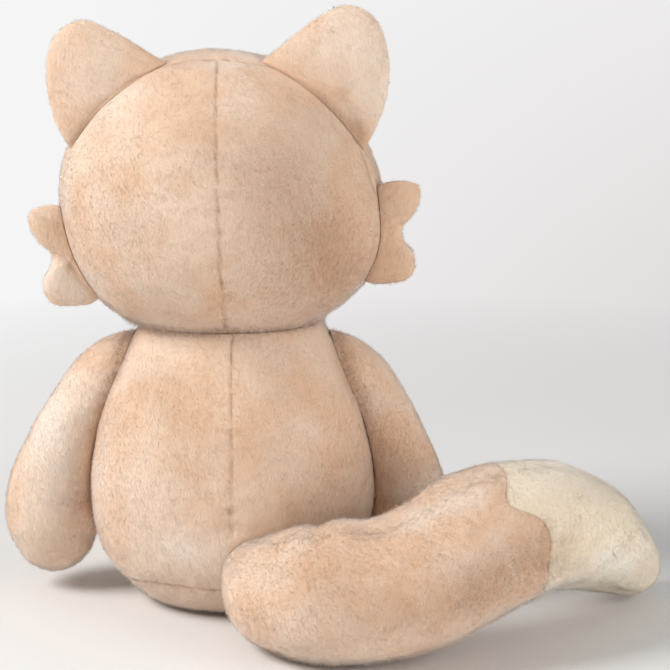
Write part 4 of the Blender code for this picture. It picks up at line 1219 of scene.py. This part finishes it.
def backdrop_with_painted_shade(tree, direction_out):
    """A near-white backdrop with painted shade: a little darker towards the toy's shaded side and
    down, by the direction from where the photo was taken."""
    parts = tree.nodes.new("ShaderNodeSeparateXYZ")
    tree.links.new(direction_out, parts.inputs[0])
    # Painted shade: darker to the toy's shaded side and downwards
    across = curve_node(tree, parts.outputs["X"], 0.16, -0.22, 0.0, 1.0)
    down = curve_node(tree, parts.outputs["Z"], -0.02, -0.22, 0.35, 1.0)
    return mix_node(tree, math_node(tree, "MULTIPLY", across, down), (0.92, 0.92, 0.92), (0.69, 0.65, 0.65))


def photo_spot():
    """Where the photo was taken from."""
    return CAMERA_TARGET + CAMERA_DISTANCE * Vector((0, math.cos(CAMERA_RISE), math.sin(CAMERA_RISE)))


def mixed_surface(tree, factor_out, one_out, other_out, end):
    """Two shaders, mixed by a factor, on the tree's last node."""
    mixer = tree.nodes.new("ShaderNodeMixShader")
    for source, socket in ((factor_out, "Fac"), (one_out, 1), (other_out, 2)):
        tree.links.new(source, mixer.inputs[socket])
    tree.links.new(mixer.outputs["Shader"], tree.nodes[end].inputs["Surface"])


def pale_floor():
    """A pale floor, which passes into the backdrop's colour away from the toy."""
    mesh = bpy.data.meshes.new("floor")
    mesh.from_pydata([(-6, -6, 0), (6, -6, 0), (6, 6, 0), (-6, 6, 0)], [], [(0, 1, 2, 3)])
    made, tree, shader, places = new_material("pale_floor")
    shade = curve_node(tree, noise_node(tree, places, 0.3, 2.0), 0.3, 0.7, 0.0, 1.0)
    tree.links.new(mix_node(tree, shade, (0.80, 0.79, 0.78), (0.82, 0.81, 0.80)), shader.inputs["Base Color"])
    shader.inputs["Roughness"].default_value = 0.7
    glow = tree.nodes.new("ShaderNodeEmission")
    from_photo = vector_node(tree, "SUBTRACT", places, photo_spot()).outputs["Vector"]
    direction = vector_node(tree, "NORMALIZE", from_photo).outputs["Vector"]
    tree.links.new(backdrop_with_painted_shade(tree, direction), glow.inputs["Color"])
    distance = vector_node(tree, "LENGTH", places).outputs["Value"]
    away = curve_node(tree, distance, 0.3, 0.9, 0.0, 1.0)
    shown = math_node(tree, "MULTIPLY", away, tree.nodes.new("ShaderNodeLightPath").outputs["Is Camera Ray"])
    mixed_surface(tree, shown, shader.outputs["BSDF"], glow.outputs["Emission"], "Material Output")
    place("floor", mesh, made)


def studio_sky():
    """An even sky that lights the toy, seen as the backdrop."""
    world = bpy.data.worlds.new("studio")
    bpy.context.scene.world = world
    world.use_nodes = True
    tree = world.node_tree
    sky = tree.nodes["Background"]
    sky.inputs["Color"].default_value = (1, 1, 1, 1)
    sky.inputs["Strength"].default_value = 0.3
    seen = add_node(tree, "ShaderNodeBackground", Strength=1.0)
    direction = tree.nodes.new("ShaderNodeTexCoord").outputs["Generated"]
    tree.links.new(backdrop_with_painted_shade(tree, direction), seen.inputs["Color"])
    rays = tree.nodes.new("ShaderNodeLightPath")
    shown = math_node(tree, "MAXIMUM", rays.outputs["Is Camera Ray"], rays.outputs["Is Glossy Ray"])
    shown = math_node(tree, "MAXIMUM", shown, rays.outputs["Is Transmission Ray"])
    mixed_surface(tree, shown, sky.outputs["Background"], seen.outputs["Background"], "World Output")


def lamps_and_camera():
    """A soft key from the picture's upper left, a soft fill, and the photo's camera."""
    scene = bpy.context.scene
    scene.view_settings.view_transform = "Standard"
    lamps = (("key", (1.58, 0.53, 1.43), 1.1, 44), ("fill", (-1.5, 1.0, 0.6), 1.4, 19))
    for name, spot, size, power in lamps:
        lamp = bpy.data.lights.new(name, "AREA")
        lamp.shape = "DISK"
        lamp.size = size
        lamp.energy = power
        obj = bpy.data.objects.new(name, lamp)
        scene.collection.objects.link(obj)
        obj.location = spot
        obj.rotation_euler = (Vector((0, 0, 0.15)) - Vector(spot)).to_track_quat("-Z", "Y").to_euler()

    camera = bpy.data.objects.new("camera", bpy.data.cameras.new("camera"))
    scene.collection.objects.link(camera)
    camera.location = photo_spot()
    camera.rotation_euler = (CAMERA_TARGET - photo_spot()).to_track_quat("-Z", "Y").to_euler()
    camera.data.lens = CAMERA_LENS
    camera.data.sensor_width = 36
    scene.camera = camera


tan_looks = (pile_material("tan_pile", TAN), "fur")
cream_looks = (pile_material("cream_pile", CREAM), "cream_fur")
sides = (1, -1)
ears = {side: ear_grids(side) for side in sides}
tufts = {side: tuft_grid(side, 76, 190) for side in sides}
muzzle = muzzle_grid()
legs = {side: leg_grids(side) for side in sides}
tail_root, tail = tail_grids()
sewn = [out_of_head(capped(grid, (True, False))) for grid in (*ears[1][:2], *ears[-1][:2])]
sewn += [tufts[1], tufts[-1], off_face(capped(muzzle, (True, False)))]
dress_head(tan_looks, touching(sewn, head_share, HEAD_HALF_WIDTH))
sewn = [pressed_off_torso(capped(grid, (True, False))) for grid in (legs[1][0], legs[-1][0], tail[0])]
arms = {side: arm_grid(side) for side in sides}
by_arms = np.concatenate([grid[clear < 1 * MM][::3] for grid, clear in arms.values()])
dress_torso(tan_looks, touching(sewn, torso_share, TORSO_HALF_WIDTH), by_arms)
wool = fill_material("stuffing_looks", (0.85, 0.85, 0.83), 4 * MM)
dress_ears(ears, tan_looks, cream_looks, wool)
dress_tufts(tufts, tan_looks)
dress_muzzle(muzzle, cream_looks)
dress_arms(arms, tan_looks, wool)
dress_legs(legs, tan_looks, cream_looks, wool)
dress_tail(tail, tan_looks, cream_looks, wool)
carry_over(
    {
        "washer": plastic_material("washer_plastic_looks", (0.72, 0.72, 0.7), 0.4),
        "eye": plastic_material("eye_plastic_looks", (0.012, 0.01, 0.009), 0.08),
        "bag": fill_material("bag_cloth_looks", (0.72, 0.7, 0.66), 1.2 * MM),
        "stuffing": wool,
    }
)
pale_floor()
studio_sky()
lamps_and_camera()
